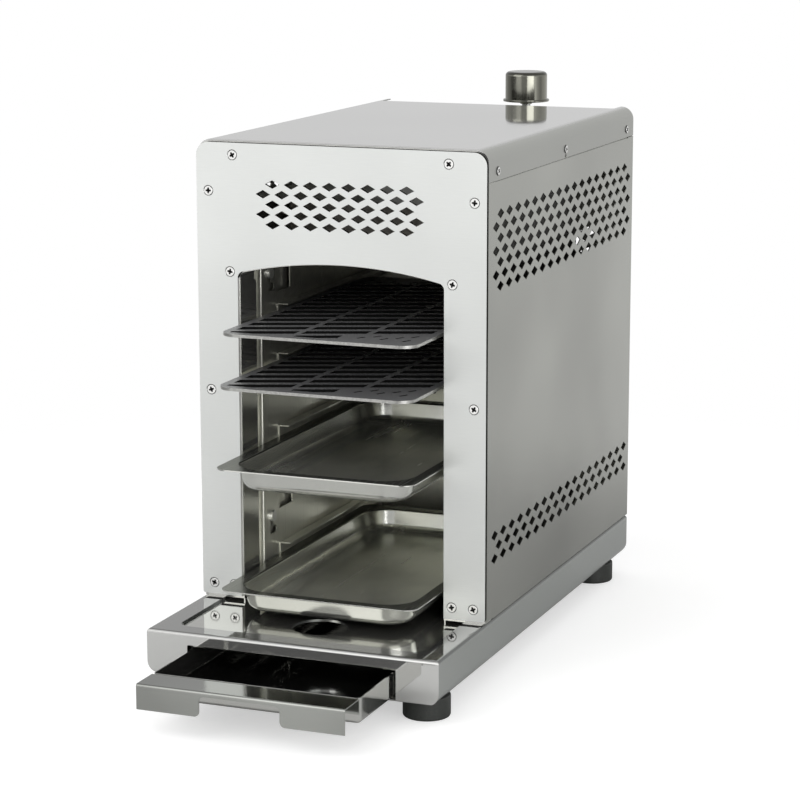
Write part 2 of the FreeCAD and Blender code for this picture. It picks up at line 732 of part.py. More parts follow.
def side_panel():
    """Right side panel: two bands of vents, foot flange, rear flange and a joggled top tongue."""
    outer = HALF_WIDTH
    inner = INNER_HALF
    low = LOW_VENT_Z - VENT_WALL_DROP
    high = SEAM_Z - TONGUE_ROOT
    edge_z = SEAM_Z - SEAM_GAP
    flange_rear = PANEL_FRONT + FRAME_FLANGE + FOLD_RELIEF
    tongue_rear = CASING_REAR - TONGUE_END_GAP
    high_rows = SEAM_Z - HIGH_VENT_DROP - (HIGH_VENT_ROWS - 1) * VENT_ROW
    holes = diamond_band(VENT_FRONT, high_rows, HIGH_VENT_ROWS, VENTS_PER_ROW, VENT_STEP, VENT_ROW,
                         VENT_LENGTH, VENT_HEIGHT)
    holes += diamond_band(VENT_FRONT, LOW_VENT_Z, LOW_VENT_ROWS, VENTS_PER_ROW, VENT_STEP, VENT_ROW,
                          VENT_LENGTH, VENT_HEIGHT, wide_first=True)
    wall = slab("yz", inner, outer,
                [(PANEL_FRONT, low), (CASING_REAR, low), (CASING_REAR, high), (PANEL_FRONT, high)], holes)
    foot = bent_sheet("xz", flange_rear, CASING_REAR,
                      [(outer - PANEL_FOOT_FLANGE, BASE_TOP), (outer, BASE_TOP), (outer, low)],
                      SHEET, SHEET_BEND)
    front_foot = box(inner, outer, PANEL_FRONT, flange_rear, BASE_TOP + SHEET + SHEET_BEND, low)
    tongue = bent_sheet("xz", TONGUE_FRONT, tongue_rear,
                        [(outer, high), (outer, edge_z - JOGGLE_RUN), (inner, edge_z),
                         (inner, SEAM_Z + TONGUE_HEIGHT)], SHEET, JOGGLE_BEND)
    ends = [box(inner, outer, PANEL_FRONT, TONGUE_FRONT, high, edge_z),
            box(inner, outer, tongue_rear, CASING_REAR, high, edge_z)]
    flange = box(outer - PANEL_REAR_FLANGE - SHEET, inner, CASING_REAR - SHEET, CASING_REAR,
                 BASE_TOP + PANEL_END_GAP, SEAM_Z - PANEL_END_GAP)
    panel = fused([wall, foot, front_foot, tongue, flange] + ends)
    return panel.cut(cover_screws(SCREW_SLACK) + back_screws(SCREW_SLACK) + body_screws(SCREW_SLACK))


def back_panel():
    """Flat back with a folded top edge, a vent field and the gas and lead holes."""
    top = SEAM_Z + BACK_PANEL_RISE
    half = INNER_HALF - BACK_PANEL_PLAY
    low = BASE_TOP + PANEL_END_GAP
    first = -(BACK_VENTS_PER_ROW - 1) * VENT_STEP / 2
    holes = diamond_band(first, LOW_VENT_Z, LOW_VENT_ROWS, BACK_VENTS_PER_ROW, VENT_STEP, VENT_ROW,
                         VENT_LENGTH, VENT_HEIGHT, wide_first=True)
    holes += diamond_band(first, STUD_HIGH_Z - 2 * VENT_ROW, LOW_VENT_ROWS, BACK_VENTS_PER_ROW, VENT_STEP,
                          VENT_ROW, VENT_LENGTH, VENT_HEIGHT, wide_first=True)
    outline = [(-half, low), (half, low), (half, top, BACK_PANEL_CORNER), (-half, top, BACK_PANEL_CORNER)]
    wall = slab("xz", CASING_REAR, BACK_FACE, outline, holes)
    fold_half = half - BACK_FOLD_INSET
    fold = box(-fold_half, fold_half, CASING_REAR - BACK_TOP_FLANGE, CASING_REAR, top - SHEET, top)
    back = fused([wall, fold])
    bores = [rod(THREAD_RADIUS + THREAD_PLAY, V(0, CASING_REAR - 1, GAS_Z), V(0, BACK_FACE + 1, GAS_Z))]
    for side in (-1, 1):
        bores.append(rod(LEAD_RADIUS + LEAD_PLAY, V(side * PROBE_SIDE, CASING_REAR - 1, GAS_Z),
                         V(side * PROBE_SIDE, BACK_FACE + 1, GAS_Z)))
    return back.cut(bores + back_screws(SCREW_SLACK) + carrier_screws(SCREW_SLACK))


def body_screws(slack=0.0):
    """Screws from inside the base up into the side panels' foot flanges."""
    side_x = INNER_HALF - PANEL_FOOT_FLANGE / 2 - BODY_SCREW_IN
    screws = []
    for side in (-1, 1):
        for y in (PANEL_FRONT + BODY_SCREW_FRONT, CASING_REAR - BODY_SCREW_REAR):
            low = V(side * side_x, y, BASE_TOP - BASE_SHEET - PAN_HEAD)
            head = Part.makeCylinder(PAN_HEAD_RADIUS + slack, PAN_HEAD, low)
            shank = Part.makeCylinder(SCREW_RADIUS + slack, PAN_HEAD + BODY_SCREW_REACH, low)
            screws.append(fused([head, shank]))
    return screws


def base_form(shrink):
    """Solid of the base's outside, or with a shrink that of its inside."""
    low = BASE_BOTTOM + shrink
    top = BASE_TOP - shrink
    half = HALF_WIDTH - shrink
    front = BASE_FRONT + shrink
    rear = BASE_REAR - shrink
    low_bend = BASE_LOW_BEND - shrink
    top_bend = BASE_TOP_BEND - shrink
    across = slab("xz", front, rear, [(-half, low, low_bend), (half, low, low_bend),
                                      (half, top, top_bend), (-half, top, top_bend)])
    along = slab("yz", -half, half, [(front, low, top_bend), (rear, low, low_bend),
                                     (rear, top, top_bend), (front, top, top_bend)])
    return across.common(along)


def recess_form(top, floor, spread):
    """Shallow pressed recess with sloping sides, from its mouth down to its floor."""
    wires = []
    for height, grow in ((top, RECESS_SLOPE), (floor, 0.0)):
        reach = grow + spread
        wires.append(drawn("xy", height, rounded_rect(
            -RECESS_HALF - reach, RECESS_HALF + reach, RECESS_FRONT - reach,
            CAVITY_DEPTH + RECESS_MARGIN + reach, RECESS_CORNER + reach)))
    return Part.makeLoft(wires, True, True)


def base_pan():
    """Folded base box: pressed top, drain with a drawn collar, drawer mouth and open underside."""
    outside = base_form(0.0).cut(recess_form(BASE_TOP, RECESS_FLOOR, 0.0))
    inside = base_form(BASE_SHEET).cut(recess_form(BASE_TOP - BASE_SHEET, RECESS_FLOOR - BASE_SHEET,
                                                   RECESS_SPREAD))
    shell = outside.cut(inside)
    drain = V(0, -DRAIN_FROM_PLATE, RECESS_FLOOR - DRAIN_COLLAR)
    collar = Part.makeCylinder(DRAIN_RADIUS, DRAIN_COLLAR, drain)
    bore = Part.makeCylinder(DRAIN_RADIUS - BASE_SHEET, DRAIN_COLLAR + CUT_OVER, drain - UP)
    mouth = slab("xz", BASE_FRONT - 1, BASE_FRONT + BASE_TOP_BEND + 1,
                 [(-MOUTH_HALF, BASE_FLOOR + BASE_FRONT_LIP), (MOUTH_HALF, BASE_FLOOR + BASE_FRONT_LIP),
                  (MOUTH_HALF, BASE_TOP - MOUTH_DROP, MOUTH_CORNER),
                  (-MOUTH_HALF, BASE_TOP - MOUTH_DROP, MOUTH_CORNER)])
    opening_half = HALF_WIDTH - BASE_SIDE_BORDER
    opening = slab("xy", BASE_BOTTOM - 1, BASE_FLOOR + 1,
                   rounded_rect(-opening_half, opening_half, BASE_FRONT + BASE_BOTTOM_BORDER,
                                BASE_REAR - BASE_REAR_BORDER, BASE_OPENING_CORNER))
    holes = [Part.makeCylinder(BOLT_RADIUS + LOOSE_FIT, 2 * CUT_OVER,
                               V(side * FOOT_X, y, BASE_BOTTOM - CUT_OVER))
             for side in (-1, 1) for y in (FOOT_FRONT_Y, FOOT_REAR_Y)]
    return fused([shell, collar]).cut([bore, mouth, opening] + holes + body_screws(SCREW_SLACK))


def drawer_rail():
    """Right channel in which the drawer's side runs."""
    web = DRAWER_HALF + RAIL_PLAY + RAIL_SHEET
    top = DRAWER_TOP + RAIL_HEADROOM + RAIL_SHEET
    front = BASE_FRONT + RAIL_FRONT_GAP
    return bent_sheet("xz", front, front + RAIL_LENGTH,
                      [(web - RAIL_REACH, BASE_FLOOR), (web, BASE_FLOOR), (web, top),
                       (web - RAIL_REACH, top)],
                      RAIL_SHEET, SHEET_BEND)


def drawer_pan():
    """Open drip drawer with rounded lower edges."""
    def form(shrink, top):
        block = slab("xy", DRAWER_LOW + shrink, top,
                     rounded_rect(-DRAWER_HALF + shrink, DRAWER_HALF - shrink, DRAWER_FRONT + shrink,
                                  DRAWER_FRONT + DRAWER_LENGTH - shrink, DRAWER_CORNER - shrink))
        return rounded(block, DRAWER_CORNER - 1 - shrink, lambda edge: lies_at(edge, DRAWER_LOW + shrink))
    return form(0.0, DRAWER_TOP).cut(form(DRAWER_SHEET, DRAWER_TOP + 1))


def drawer_handle():
    """Folded grip along the drawer's front, with a notch for the fingers."""
    fold = bent_sheet("yz", -DRAWER_HALF, DRAWER_HALF,
                      [(DRAWER_FRONT, DRAWER_TOP - HANDLE_TAB), (DRAWER_FRONT, DRAWER_TOP),
                       (WHOLE_FRONT, DRAWER_TOP), (WHOLE_FRONT, DRAWER_TOP - HANDLE_DROP)],
                      DRAWER_SHEET, HANDLE_BEND)
    low = DRAWER_TOP - HANDLE_DROP
    under = low - CUT_OVER
    high = low + NOTCH_RISE
    side = DRAWER_HALF - CUT_OVER
    notch = slab("xz", WHOLE_FRONT - 1, WHOLE_FRONT + CUT_OVER,
                 [(-NOTCH_HALF, high, NOTCH_CORNER), (-NOTCH_HALF, low, NOTCH_CORNER),
                  (-side, low), (-side, under), (side, under), (side, low),
                  (NOTCH_HALF, low, NOTCH_CORNER), (NOTCH_HALF, high, NOTCH_CORNER)])
    return fold.cut(notch)


def foot(side, y):
    """Rubber foot with a rounded tread and a counterbore for its bolt."""
    profile = [(BOLT_RADIUS + EASY_FIT, FOOT_HEIGHT), (BOLT_RADIUS + EASY_FIT, FOOT_BORE_DEPTH),
               (FOOT_BORE, FOOT_BORE_DEPTH), (FOOT_BORE, 0), (FOOT_RADIUS, 0, FOOT_ROUND),
               (FOOT_RADIUS, FOOT_HEIGHT, FOOT_TOP_ROUND)]
    return turned(profile, V(side * FOOT_X, y, FLOOR_Z), UP)


def foot_bolts():
    """Bolts up through the feet into the base."""
    head_low = FLOOR_Z + FOOT_BORE_DEPTH - BOLT_HEAD
    bolts = []
    for side in (-1, 1):
        for y in (FOOT_FRONT_Y, FOOT_REAR_Y):
            axis = V(side * FOOT_X, y, 0)
            head = hexagon(BOLT_HEAD_RADIUS, axis + UP * head_low, axis + UP * (head_low + BOLT_HEAD))
            shank = rod(BOLT_RADIUS, axis + UP * head_low, axis + UP * (BASE_FLOOR + BOLT_NUT + 2))
            bolts.append(fused([head, shank]))
    return group(bolts)


def foot_nuts():
    """Nuts on the foot bolts, inside the base."""
    nuts = []
    for side in (-1, 1):
        for y in (FOOT_FRONT_Y, FOOT_REAR_Y):
            low = V(side * FOOT_X, y, BASE_FLOOR)
            high = low + UP * BOLT_NUT
            nuts.append(hexagon(NUT_RADIUS, low, high).cut(rod(BOLT_RADIUS + SNUG_FIT, low - UP, high + UP)))
    return group(nuts)


def stud_places():
    """Height and depth of each rack stud on one side."""
    rows = (RACK_FRONT + STUD_SETBACK, RACK_REAR - STUD_SETBACK)
    return [(y, z) for y in rows for z in (STUD_LOW_Z, STUD_HIGH_Z)]


def rack():
    """Right rack: sheet with folded ends, windows, and J-slots by which it hangs on the studs."""
    sheet = bent_sheet("xy", RACK_LOW, RACK_TOP,
                       [(LINER_FACE, RACK_REAR), (RACK_FACE, RACK_REAR), (RACK_FACE, RACK_FRONT),
                        (LINER_FACE, RACK_FRONT)], RACK_SHEET, RACK_BEND)
    cuts = []
    width = STUD_RADIUS + HOOK_PLAY
    bend = width - EASY_FIT
    for y, z in stud_places():
        foot_z = z - HOOK_DROP
        cuts.append(slab("yz", RACK_FACE - 1, RACK_FACE + 2,
                         [(y - width, z + width, bend), (y - width, foot_z - width, bend),
                          (y + HOOK_REACH + width, foot_z - width, bend),
                          (y + HOOK_REACH + width, foot_z + width, bend),
                          (y + width, foot_z + width), (y + width, z + width, bend)]))
    for low, high in (LOW_WINDOW, HIGH_WINDOW):
        for start in (GUIDE_FRONT, GUIDE_REAR - WINDOW_LENGTH - WINDOW_INSET):
            cuts.append(slab("yz", RACK_FACE - 1, RACK_FACE + 2,
                             rounded_rect(start, start + WINDOW_LENGTH, low, high, WINDOW_CORNER)))
    return sheet.cut(cuts)


def guides():
    """Four channels on the right rack, one for each tray and grate."""
    web = RACK_FACE
    channels = []
    for seat, height in ((LOWER_TRAY_SEAT, TRAY_GUIDE_HEIGHT), (UPPER_TRAY_SEAT, TRAY_GUIDE_HEIGHT),
                         (LOWER_GRATE_SEAT, GRATE_GUIDE_HEIGHT), (UPPER_GRATE_SEAT, GRATE_GUIDE_HEIGHT)):
        low = seat - RACK_SHEET
        high = seat + height + RACK_SHEET
        path = [(web - GUIDE_REACH, low), (web, low), (web, high), (web - GUIDE_REACH, high)]
        channels.append(bent_sheet("xz", GUIDE_FRONT, GUIDE_REAR, path, RACK_SHEET, GUIDE_BEND))
    return group(channels)


def rack_studs():
    """Headed studs on both liners that carry the racks."""
    studs = []
    for y, z in stud_places():
        head = rod(STUD_HEAD_RADIUS, V(RACK_FACE - STUD_HEAD, y, z), V(RACK_FACE, y, z))
        shank = rod(STUD_RADIUS, V(RACK_FACE - 1, y, z), V(LINER_FACE, y, z))
        stud = fused([head, shank])
        studs += [stud, mirrored(stud)]
    return group(studs)


def liner():
    """Right cavity liner with a front fold against the jamb and a foot on the base's recess."""
    rear = CAVITY_DEPTH + LINER_REAR_LAP
    wall = bent_sheet("xy", RECESS_FLOOR, LINER_TOP,
                      [(LINER_FACE, rear), (LINER_FACE, JAMB_END), (LINER_FACE + LINER_FRONT_FOLD, JAMB_END)],
                      SHEET, SHEET_BEND)
    foot_flange = box(LINER_FACE, LINER_FACE + LINER_FOOT, JAMB_END + LINER_FOOT_SETBACK,
                      rear - LINER_FOOT_SETBACK, RECESS_FLOOR, RECESS_FLOOR + SHEET)
    return fused([wall, foot_flange])


def liner_back():
    """Back of the cavity, folded to the rear at both sides, with holes for the burner's services."""
    half = LINER_FACE
    rear = CAVITY_DEPTH + LINER_REAR_LAP
    sheet = bent_sheet("xy", RECESS_FLOOR, LINER_TOP,
                       [(-half, rear), (-half, CAVITY_DEPTH), (half, CAVITY_DEPTH), (half, rear)],
                       SHEET, SHEET_BEND)
    before = CAVITY_DEPTH - 1
    after = CAVITY_DEPTH + SHEET + 1
    bores = [rod(VENTURI_RADIUS + LOOSE_FIT, V(0, before, GAS_Z), V(0, after, GAS_Z))]
    for side in (-1, 1):
        x = side * PROBE_SIDE
        bores.append(rod(LEAD_RADIUS + LEAD_PLAY, V(x, before, GAS_Z), V(x, after, GAS_Z)))
    return sheet.cut(bores)


def heat_shield():
    """Sheet over the burner that rests on the liners, folded down outside them."""
    half = LINER_FACE + SHEET + LINER_FOOT
    return bent_sheet("xz", JAMB_END + SHIELD_SETBACK, CAVITY_DEPTH + LINER_REAR_LAP,
                      [(half, LINER_TOP - SHIELD_FOLD), (half, LINER_TOP + SHEET), (-half, LINER_TOP + SHEET),
                       (-half, LINER_TOP - SHIELD_FOLD)], SHEET, SHIELD_BEND)


def burner_housing():
    """Gas box, open below inside a narrow lip, with the mixing tube's hole and two probe clips."""
    wall = HOUSING_SHEET
    outer = box(-HOUSING_HALF, HOUSING_HALF, HOUSING_FRONT, HOUSING_REAR, HOUSING_LOW, HOUSING_TOP)
    upright = lambda edge: edge.BoundBox.ZLength > HOUSING_HEIGHT / 2
    outer = rounded(outer, HOUSING_CORNER, upright)
    inner = box(-HOUSING_HALF + wall, HOUSING_HALF - wall, HOUSING_FRONT + wall, HOUSING_REAR - wall,
                HOUSING_LOW + wall, HOUSING_TOP - wall)
    inner = rounded(inner, HOUSING_CORNER - wall, upright)
    window = box(-HOUSING_HALF + HOUSING_LIP, HOUSING_HALF - HOUSING_LIP, HOUSING_FRONT + HOUSING_LIP,
                 HOUSING_REAR - HOUSING_LIP, HOUSING_LOW - 1, HOUSING_LOW + wall + 1)
    port = rod(VENTURI_RADIUS + SNUG_FIT, V(0, HOUSING_REAR - CUT_OVER, GAS_Z),
               V(0, HOUSING_REAR + CUT_OVER, GAS_Z))
    clip_z = HOUSING_LOW + CLIP_RISE
    clips = []
    bores = []
    for side in (-1, 1):
        x = side * PROBE_SIDE
        y = HOUSING_REAR + PROBE_BEHIND
        clips.append(box(x - CLIP_HALF, x + CLIP_HALF, HOUSING_REAR - wall, y + CLIP_END,
                         clip_z, clip_z + wall))
        bores.append(rod(PROBE_RADIUS + SNUG_FIT, V(x, y, clip_z - 1), V(x, y, clip_z + CUT_OVER)))
    return fused([outer.cut(inner)] + clips).cut([window, port] + bores)


def inner_ring(inset, low, high, hole):
    """Rectangular ring or block inside the housing."""
    reach = HOUSING_SHEET + inset
    block = box(-HOUSING_HALF + reach, HOUSING_HALF - reach, HOUSING_FRONT + reach, HOUSING_REAR - reach,
                low, high)
    if not hole:
        return block
    return block.cut(box(-HOUSING_HALF + HOUSING_LIP, HOUSING_HALF - HOUSING_LIP, HOUSING_FRONT + HOUSING_LIP,
                         HOUSING_REAR - HOUSING_LIP, low - 1, high + 1))


def tile_gasket():
    """Fibre gasket between the housing's lip and the tiles."""
    return inner_ring(GASKET_INSET, HOUSING_LOW + HOUSING_SHEET, TILE_LOW, True)


def burner_tiles():
    """Ceramic tiles in a row, face down on the gasket."""
    reach = HOUSING_SHEET + GASKET_INSET
    half = HOUSING_HALF - reach
    start = HOUSING_FRONT + reach
    pitch = (HOUSING_REAR - reach - start) / TILE_COUNT
    return group([box(-half, half, start + k * pitch + TILE_GAP / 2, start + (k + 1) * pitch - TILE_GAP / 2,
                      TILE_LOW, TILE_TOP) for k in range(TILE_COUNT)])


def burner_guard():
    """Wire guard below the tiles: cross rods on the housing's lip, joined by two long rods."""
    cross_z = HOUSING_LOW - GUARD_RADIUS
    long_z = cross_z - 2 * GUARD_RADIUS + GUARD_WELD
    half = HOUSING_HALF - GUARD_REST
    first = HOUSING_FRONT + GUARD_END
    last = HOUSING_REAR - GUARD_END
    rods = []
    for k in range(GUARD_ROD_COUNT):
        y = first + k * (last - first) / (GUARD_ROD_COUNT - 1)
        rods.append(rod(GUARD_RADIUS, V(-half, y, cross_z), V(half, y, cross_z)))
    for side in (-1, 1):
        x = side * (HOUSING_HALF / 2)
        rods.append(rod(GUARD_RADIUS, V(x, first - GUARD_TAIL, long_z), V(x, last + GUARD_TAIL, long_z)))
    return fused(rods)


def burner_brackets():
    """Stepped brackets that hang the housing between the liners."""
    brackets = []
    step = HOUSING_LOW + BRACKET_RISE
    for y in (HOUSING_FRONT + BRACKET_INSET, HOUSING_REAR - BRACKET_INSET - BRACKET_LENGTH):
        bracket = bent_sheet("xz", y, y + BRACKET_LENGTH,
                             [(LINER_FACE - SHEET, step + BRACKET_UP), (LINER_FACE - SHEET, step),
                              (HOUSING_HALF, step), (HOUSING_HALF, step - BRACKET_DOWN)], SHEET, RACK_BEND)
        brackets += [bracket, mirrored(bracket)]
    return group(brackets)


def venturi_tube():
    """Mixing tube with a belled mouth, from the housing's rear wall towards the jet."""
    start = HOUSING_REAR - HOUSING_SHEET
    inner = VENTURI_RADIUS - VENTURI_WALL
    profile = [(inner, 0), (VENTURI_RADIUS, 0), (VENTURI_RADIUS, VENTURI_LENGTH - BELL_LENGTH, BELL_ROUND),
               (BELL_RADIUS, VENTURI_LENGTH), (BELL_RADIUS - VENTURI_WALL, VENTURI_LENGTH),
               (inner, VENTURI_LENGTH - BELL_LENGTH, BELL_ROUND + VENTURI_WALL)]
    return turned(profile, V(0, start, GAS_Z), BACK)


def jet_holder():
    """Hexagonal bulkhead fitting through the back panel, which carries the jet."""
    inside = CASING_REAR - HOLDER_DEPTH
    end = BACK_FACE + HOLDER_THREAD
    body = hexagon(HOLDER_RADIUS, V(0, inside, GAS_Z), V(0, CASING_REAR, GAS_Z))
    thread = rod(THREAD_RADIUS, V(0, CASING_REAR - 1, GAS_Z), V(0, end, GAS_Z))
    bore = rod(PIPE_RADIUS - PIPE_WALL, V(0, inside - 1, GAS_Z), V(0, end + 1, GAS_Z))
    return fused([body, thread]).cut(bore)


def gas_jet():
    """Brass jet in front of the mixing tube's bell, with a fine bore."""
    base = CASING_REAR - HOLDER_DEPTH
    profile = [(JET_BORE, 0), (JET_RADIUS, 0), (JET_RADIUS, JET_LENGTH - JET_CONE), (JET_TIP, JET_LENGTH),
               (JET_BORE, JET_LENGTH)]
    return turned(profile, V(0, base, GAS_Z), V(0, -1, 0))


def gas_pipe():
    """Pipe from the valve's outlet to the jet holder, with one step down."""
    start = BACK_FACE + HOLDER_THREAD
    end = VALVE_Y - VALVE_RADIUS - OUTLET_LENGTH
    route = [(0, start, GAS_Z), (0, start + PIPE_STRAIGHT, GAS_Z), (0, end - PIPE_STRAIGHT, VALVE_PORT_Z),
             (0, end, VALVE_PORT_Z)]
    return swept(route, PIPE_BEND, PIPE_RADIUS).cut(swept(route, PIPE_BEND, PIPE_RADIUS - PIPE_WALL))


def pipe_nuts():
    """Union nuts at both ends of the pipe."""
    nuts = []
    holder_end = BACK_FACE + HOLDER_THREAD
    valve_end = VALVE_Y - VALVE_RADIUS - OUTLET_LENGTH
    for y, way, z in ((holder_end, 1, GAS_Z), (valve_end, -1, VALVE_PORT_Z)):
        start = V(0, y - way * (PIPE_NUT - PIPE_NUT_LAP), z)
        end = V(0, y + way * PIPE_NUT_LAP, z)
        seat = V(0, y, z)
        nut = hexagon(PIPE_NUT_RADIUS, start, end)
        nuts.append(nut.cut([rod(THREAD_RADIUS + SNUG_FIT, start - BACK * way, seat),
                             rod(PIPE_RADIUS + EASY_FIT, start, end + BACK * way)]))
    return group(nuts)


def valve_carrier():
    """Folded bracket on the back panel with a round nose that holds the valve by its neck."""
    leg = bent_sheet("yz", -CARRIER_HALF, CARRIER_HALF,
                     [(WHOLE_REAR, CARRIER_TOP), (BACK_FACE, CARRIER_TOP),
                      (BACK_FACE, CARRIER_TOP - CARRIER_LEG)], CARRIER_SHEET, CARRIER_SHEET)
    shoulder = BACK_FACE + CARRIER_SHOULDER
    tapered = shoulder + CARRIER_TAPER
    corner = CARRIER_CORNER
    bend = CARRIER_NOSE - EASY_FIT
    nose = slab("xy", CARRIER_TOP - CARRIER_LEG - 1, CARRIER_TOP + 1,
                [(-CARRIER_HALF, BACK_FACE - 1), (CARRIER_HALF, BACK_FACE - 1),
                 (CARRIER_HALF, shoulder, corner), (CARRIER_NOSE, tapered, corner),
                 (CARRIER_NOSE, WHOLE_REAR, bend), (-CARRIER_NOSE, WHOLE_REAR, bend),
                 (-CARRIER_NOSE, tapered, corner), (-CARRIER_HALF, shoulder, corner)])
    web_y = BACK_FACE + CARRIER_SHEET / 2
    web_z = CARRIER_LOW + CARRIER_SHEET / 2
    web = slab("yz", CARRIER_WEB_SIDE, CARRIER_WEB_SIDE + CARRIER_SHEET,
               [(web_y, web_z), (web_y, CARRIER_LOW - CARRIER_WEB_DROP), (web_y + CARRIER_WEB_REACH, web_z)])
    neck = Part.makeCylinder(NECK_RADIUS + EASY_FIT, 2 * CUT_OVER, V(0, VALVE_Y, CARRIER_LOW - CUT_OVER))
    return fused([leg.common(nose), web, mirrored(web)]).cut([neck] + carrier_screws(SCREW_SLACK))


def carrier_screws(slack=0.0):
    """Two screws that hold the valve's bracket on the back panel."""
    start = BACK_FACE + CARRIER_SHEET
    return [screw(SMALL_SCREW_HEAD, SMALL_SCREW_DEPTH, SMALL_SCREW_RADIUS, SMALL_SCREW_LENGTH,
                  V(side * CARRIER_SCREW_SIDE, start, CARRIER_LOW - CARRIER_SCREW_DROP), V(0, -1, 0), slack)
            for side in (-1, 1)]


def valve_body():
    """Cast valve with shoulder, threaded neck, spring chamber, gas outlet and two lead bosses."""
    floor = BODY_LOW
    top = CARRIER_TOP + NECK_RISE
    bore = STEM_RADIUS + STEM_PLAY
    step = CARRIER_LOW - VALVE_SHOULDER_HEIGHT
    profile = [(VALVE_THROAT, floor), (VALVE_RADIUS - VALVE_CHAMFER, floor),
               (VALVE_RADIUS, floor + 2 * VALVE_CHAMFER),
               (VALVE_RADIUS, step - 2), (VALVE_SHOULDER, step),
               (VALVE_SHOULDER, CARRIER_LOW, 1), (NECK_RADIUS, CARRIER_LOW), (NECK_RADIUS, top),
               (bore, top), (bore, CHAMBER_TOP), (CHAMBER_RADIUS, CHAMBER_TOP),
               (CHAMBER_RADIUS, SPRING_LOW), (VALVE_THROAT, SPRING_LOW)]
    body = turned(profile, V(0, VALVE_Y, 0), UP)
    port = V(0, VALVE_Y, VALVE_PORT_Z)
    root = VALVE_RADIUS - VALVE_CHAMFER
    outlet = rod(THREAD_RADIUS, port - BACK * root, port - BACK * (VALVE_RADIUS + OUTLET_LENGTH))
    bosses = [rod(BOSS_RADIUS, port + RIGHT * side * root, port + RIGHT * side * (VALVE_RADIUS + BOSS_LENGTH))
              for side in (-1, 1)]
    passage = rod(PASSAGE_RADIUS, port, port - BACK * (VALVE_RADIUS + OUTLET_LENGTH + 1))
    low_passage = rod(PASSAGE_RADIUS, port, V(0, VALVE_Y, BODY_LOW - 1))
    return fused([body, outlet] + bosses).cut([passage, low_passage])


def valve_nut():
    """Flat nut that clamps the valve's neck to the bracket."""
    low = V(0, VALVE_Y, CARRIER_TOP)
    high = low + UP * NECK_NUT
    return hexagon(NECK_NUT_RADIUS, low, high).cut(rod(NECK_RADIUS + SNUG_FIT, low - UP, high + UP))


def gas_inlet():
    """Threaded hose connector below the valve."""
    top = V(0, VALVE_Y, BODY_LOW)
    collar = hexagon(INLET_HEX_RADIUS, top - UP * INLET_HEX, top)
    thread = rod(INLET_RADIUS, top - UP * (INLET_HEX + INLET_LENGTH), top - UP * (INLET_HEX - 1))
    bore = rod(INLET_BORE, top - UP * (INLET_HEX + INLET_LENGTH + 1), top + UP)
    return fused([collar, thread]).cut(bore)


def valve_stem():
    """Stem with a collar in the chamber, up into the knob's hub."""
    collar = CHAMBER_RADIUS - COLLAR_PLAY
    ceiling = CHAMBER_TOP - EASY_FIT
    profile = [(0, STEM_FOOT), (collar, STEM_FOOT), (collar, ceiling), (STEM_RADIUS, ceiling),
               (STEM_RADIUS, STEM_TOP, STEM_TIP_ROUND), (0, STEM_TOP)]
    return turned(profile, V(0, VALVE_Y, 0), UP)


def valve_plunger():
    """Plunger between the stem and the return spring."""
    collar = CHAMBER_RADIUS - COLLAR_PLAY - EASY_FIT
    top = STEM_FOOT - EASY_FIT
    profile = [(0, PLUNGER_LOW), (collar, PLUNGER_LOW), (collar, top), (0, top)]
    return turned(profile, V(0, VALVE_Y, 0), UP)


def return_spring():
    """Compression spring of square wire under the plunger."""
    height = SPRING_LENGTH - SPRING_WIRE - 2 * EASY_FIT
    radius = CHAMBER_RADIUS - 1.0 - SPRING_WIRE
    low = V(0, VALVE_Y, SPRING_LOW + SPRING_WIRE / 2 + EASY_FIT)
    helix = Part.makeHelix(height / SPRING_TURNS, height, radius)
    helix.translate(low)
    half = SPRING_WIRE / 2
    corners = [V(radius - half, VALVE_Y, low.z - half), V(radius + half, VALVE_Y, low.z - half),
               V(radius + half, VALVE_Y, low.z + half), V(radius - half, VALVE_Y, low.z + half)]
    section = Part.makePolygon(corners + corners[:1])
    return Part.Wire(helix.Edges).makePipeShell([section], True, True)


def knob():
    """Hollow cap with a thin flange below and a hub on the stem."""
    hub_low = KNOB_LOW - KNOB_HUB_DROP
    bore = STEM_RADIUS + STEM_PLAY
    socket_end = STEM_TOP + EASY_FIT
    profile = [(bore, hub_low), (KNOB_HUB, hub_low), (KNOB_HUB, KNOB_TOP - KNOB_ROOF),
               (KNOB_RADIUS - KNOB_WALL, KNOB_TOP - KNOB_ROOF, KNOB_ROUND - KNOB_WALL),
               (KNOB_RADIUS - KNOB_WALL, KNOB_LOW), (KNOB_FLANGE_RADIUS, KNOB_LOW, KNOB_FOOT_ROUND),
               (KNOB_FLANGE_RADIUS, KNOB_LOW + KNOB_FLANGE, KNOB_LIP_ROUND),
               (KNOB_RADIUS, KNOB_LOW + KNOB_FLANGE), (KNOB_RADIUS, KNOB_TOP, KNOB_ROUND),
               (0, KNOB_TOP), (0, socket_end), (bore, socket_end)]
    return turned(profile, V(0, VALVE_Y, 0), UP)


def probe(side, tip_radius):
    """Probe rod behind the burner with its lead back to the valve."""
    x = side * PROBE_SIDE
    y = HOUSING_REAR + PROBE_BEHIND
    bottom = HOUSING_LOW - PROBE_DROP
    top = HOUSING_LOW + PROBE_RISE
    body = rod(PROBE_RADIUS, V(x, y, HOUSING_LOW), V(x, y, top))
    tip = rod(tip_radius, V(x, y, bottom), V(x, y, HOUSING_LOW + 1))
    boss = side * (VALVE_RADIUS + BOSS_LENGTH)
    lead = swept([(x, y, top - 1), (x, y, GAS_Z), (x, BACK_FACE + LEAD_STANDOFF, GAS_Z),
                  (x, VALVE_Y, VALVE_PORT_Z), (boss, VALVE_Y, VALVE_PORT_Z)], LEAD_BEND, LEAD_RADIUS)
    return fused([body, tip, lead])


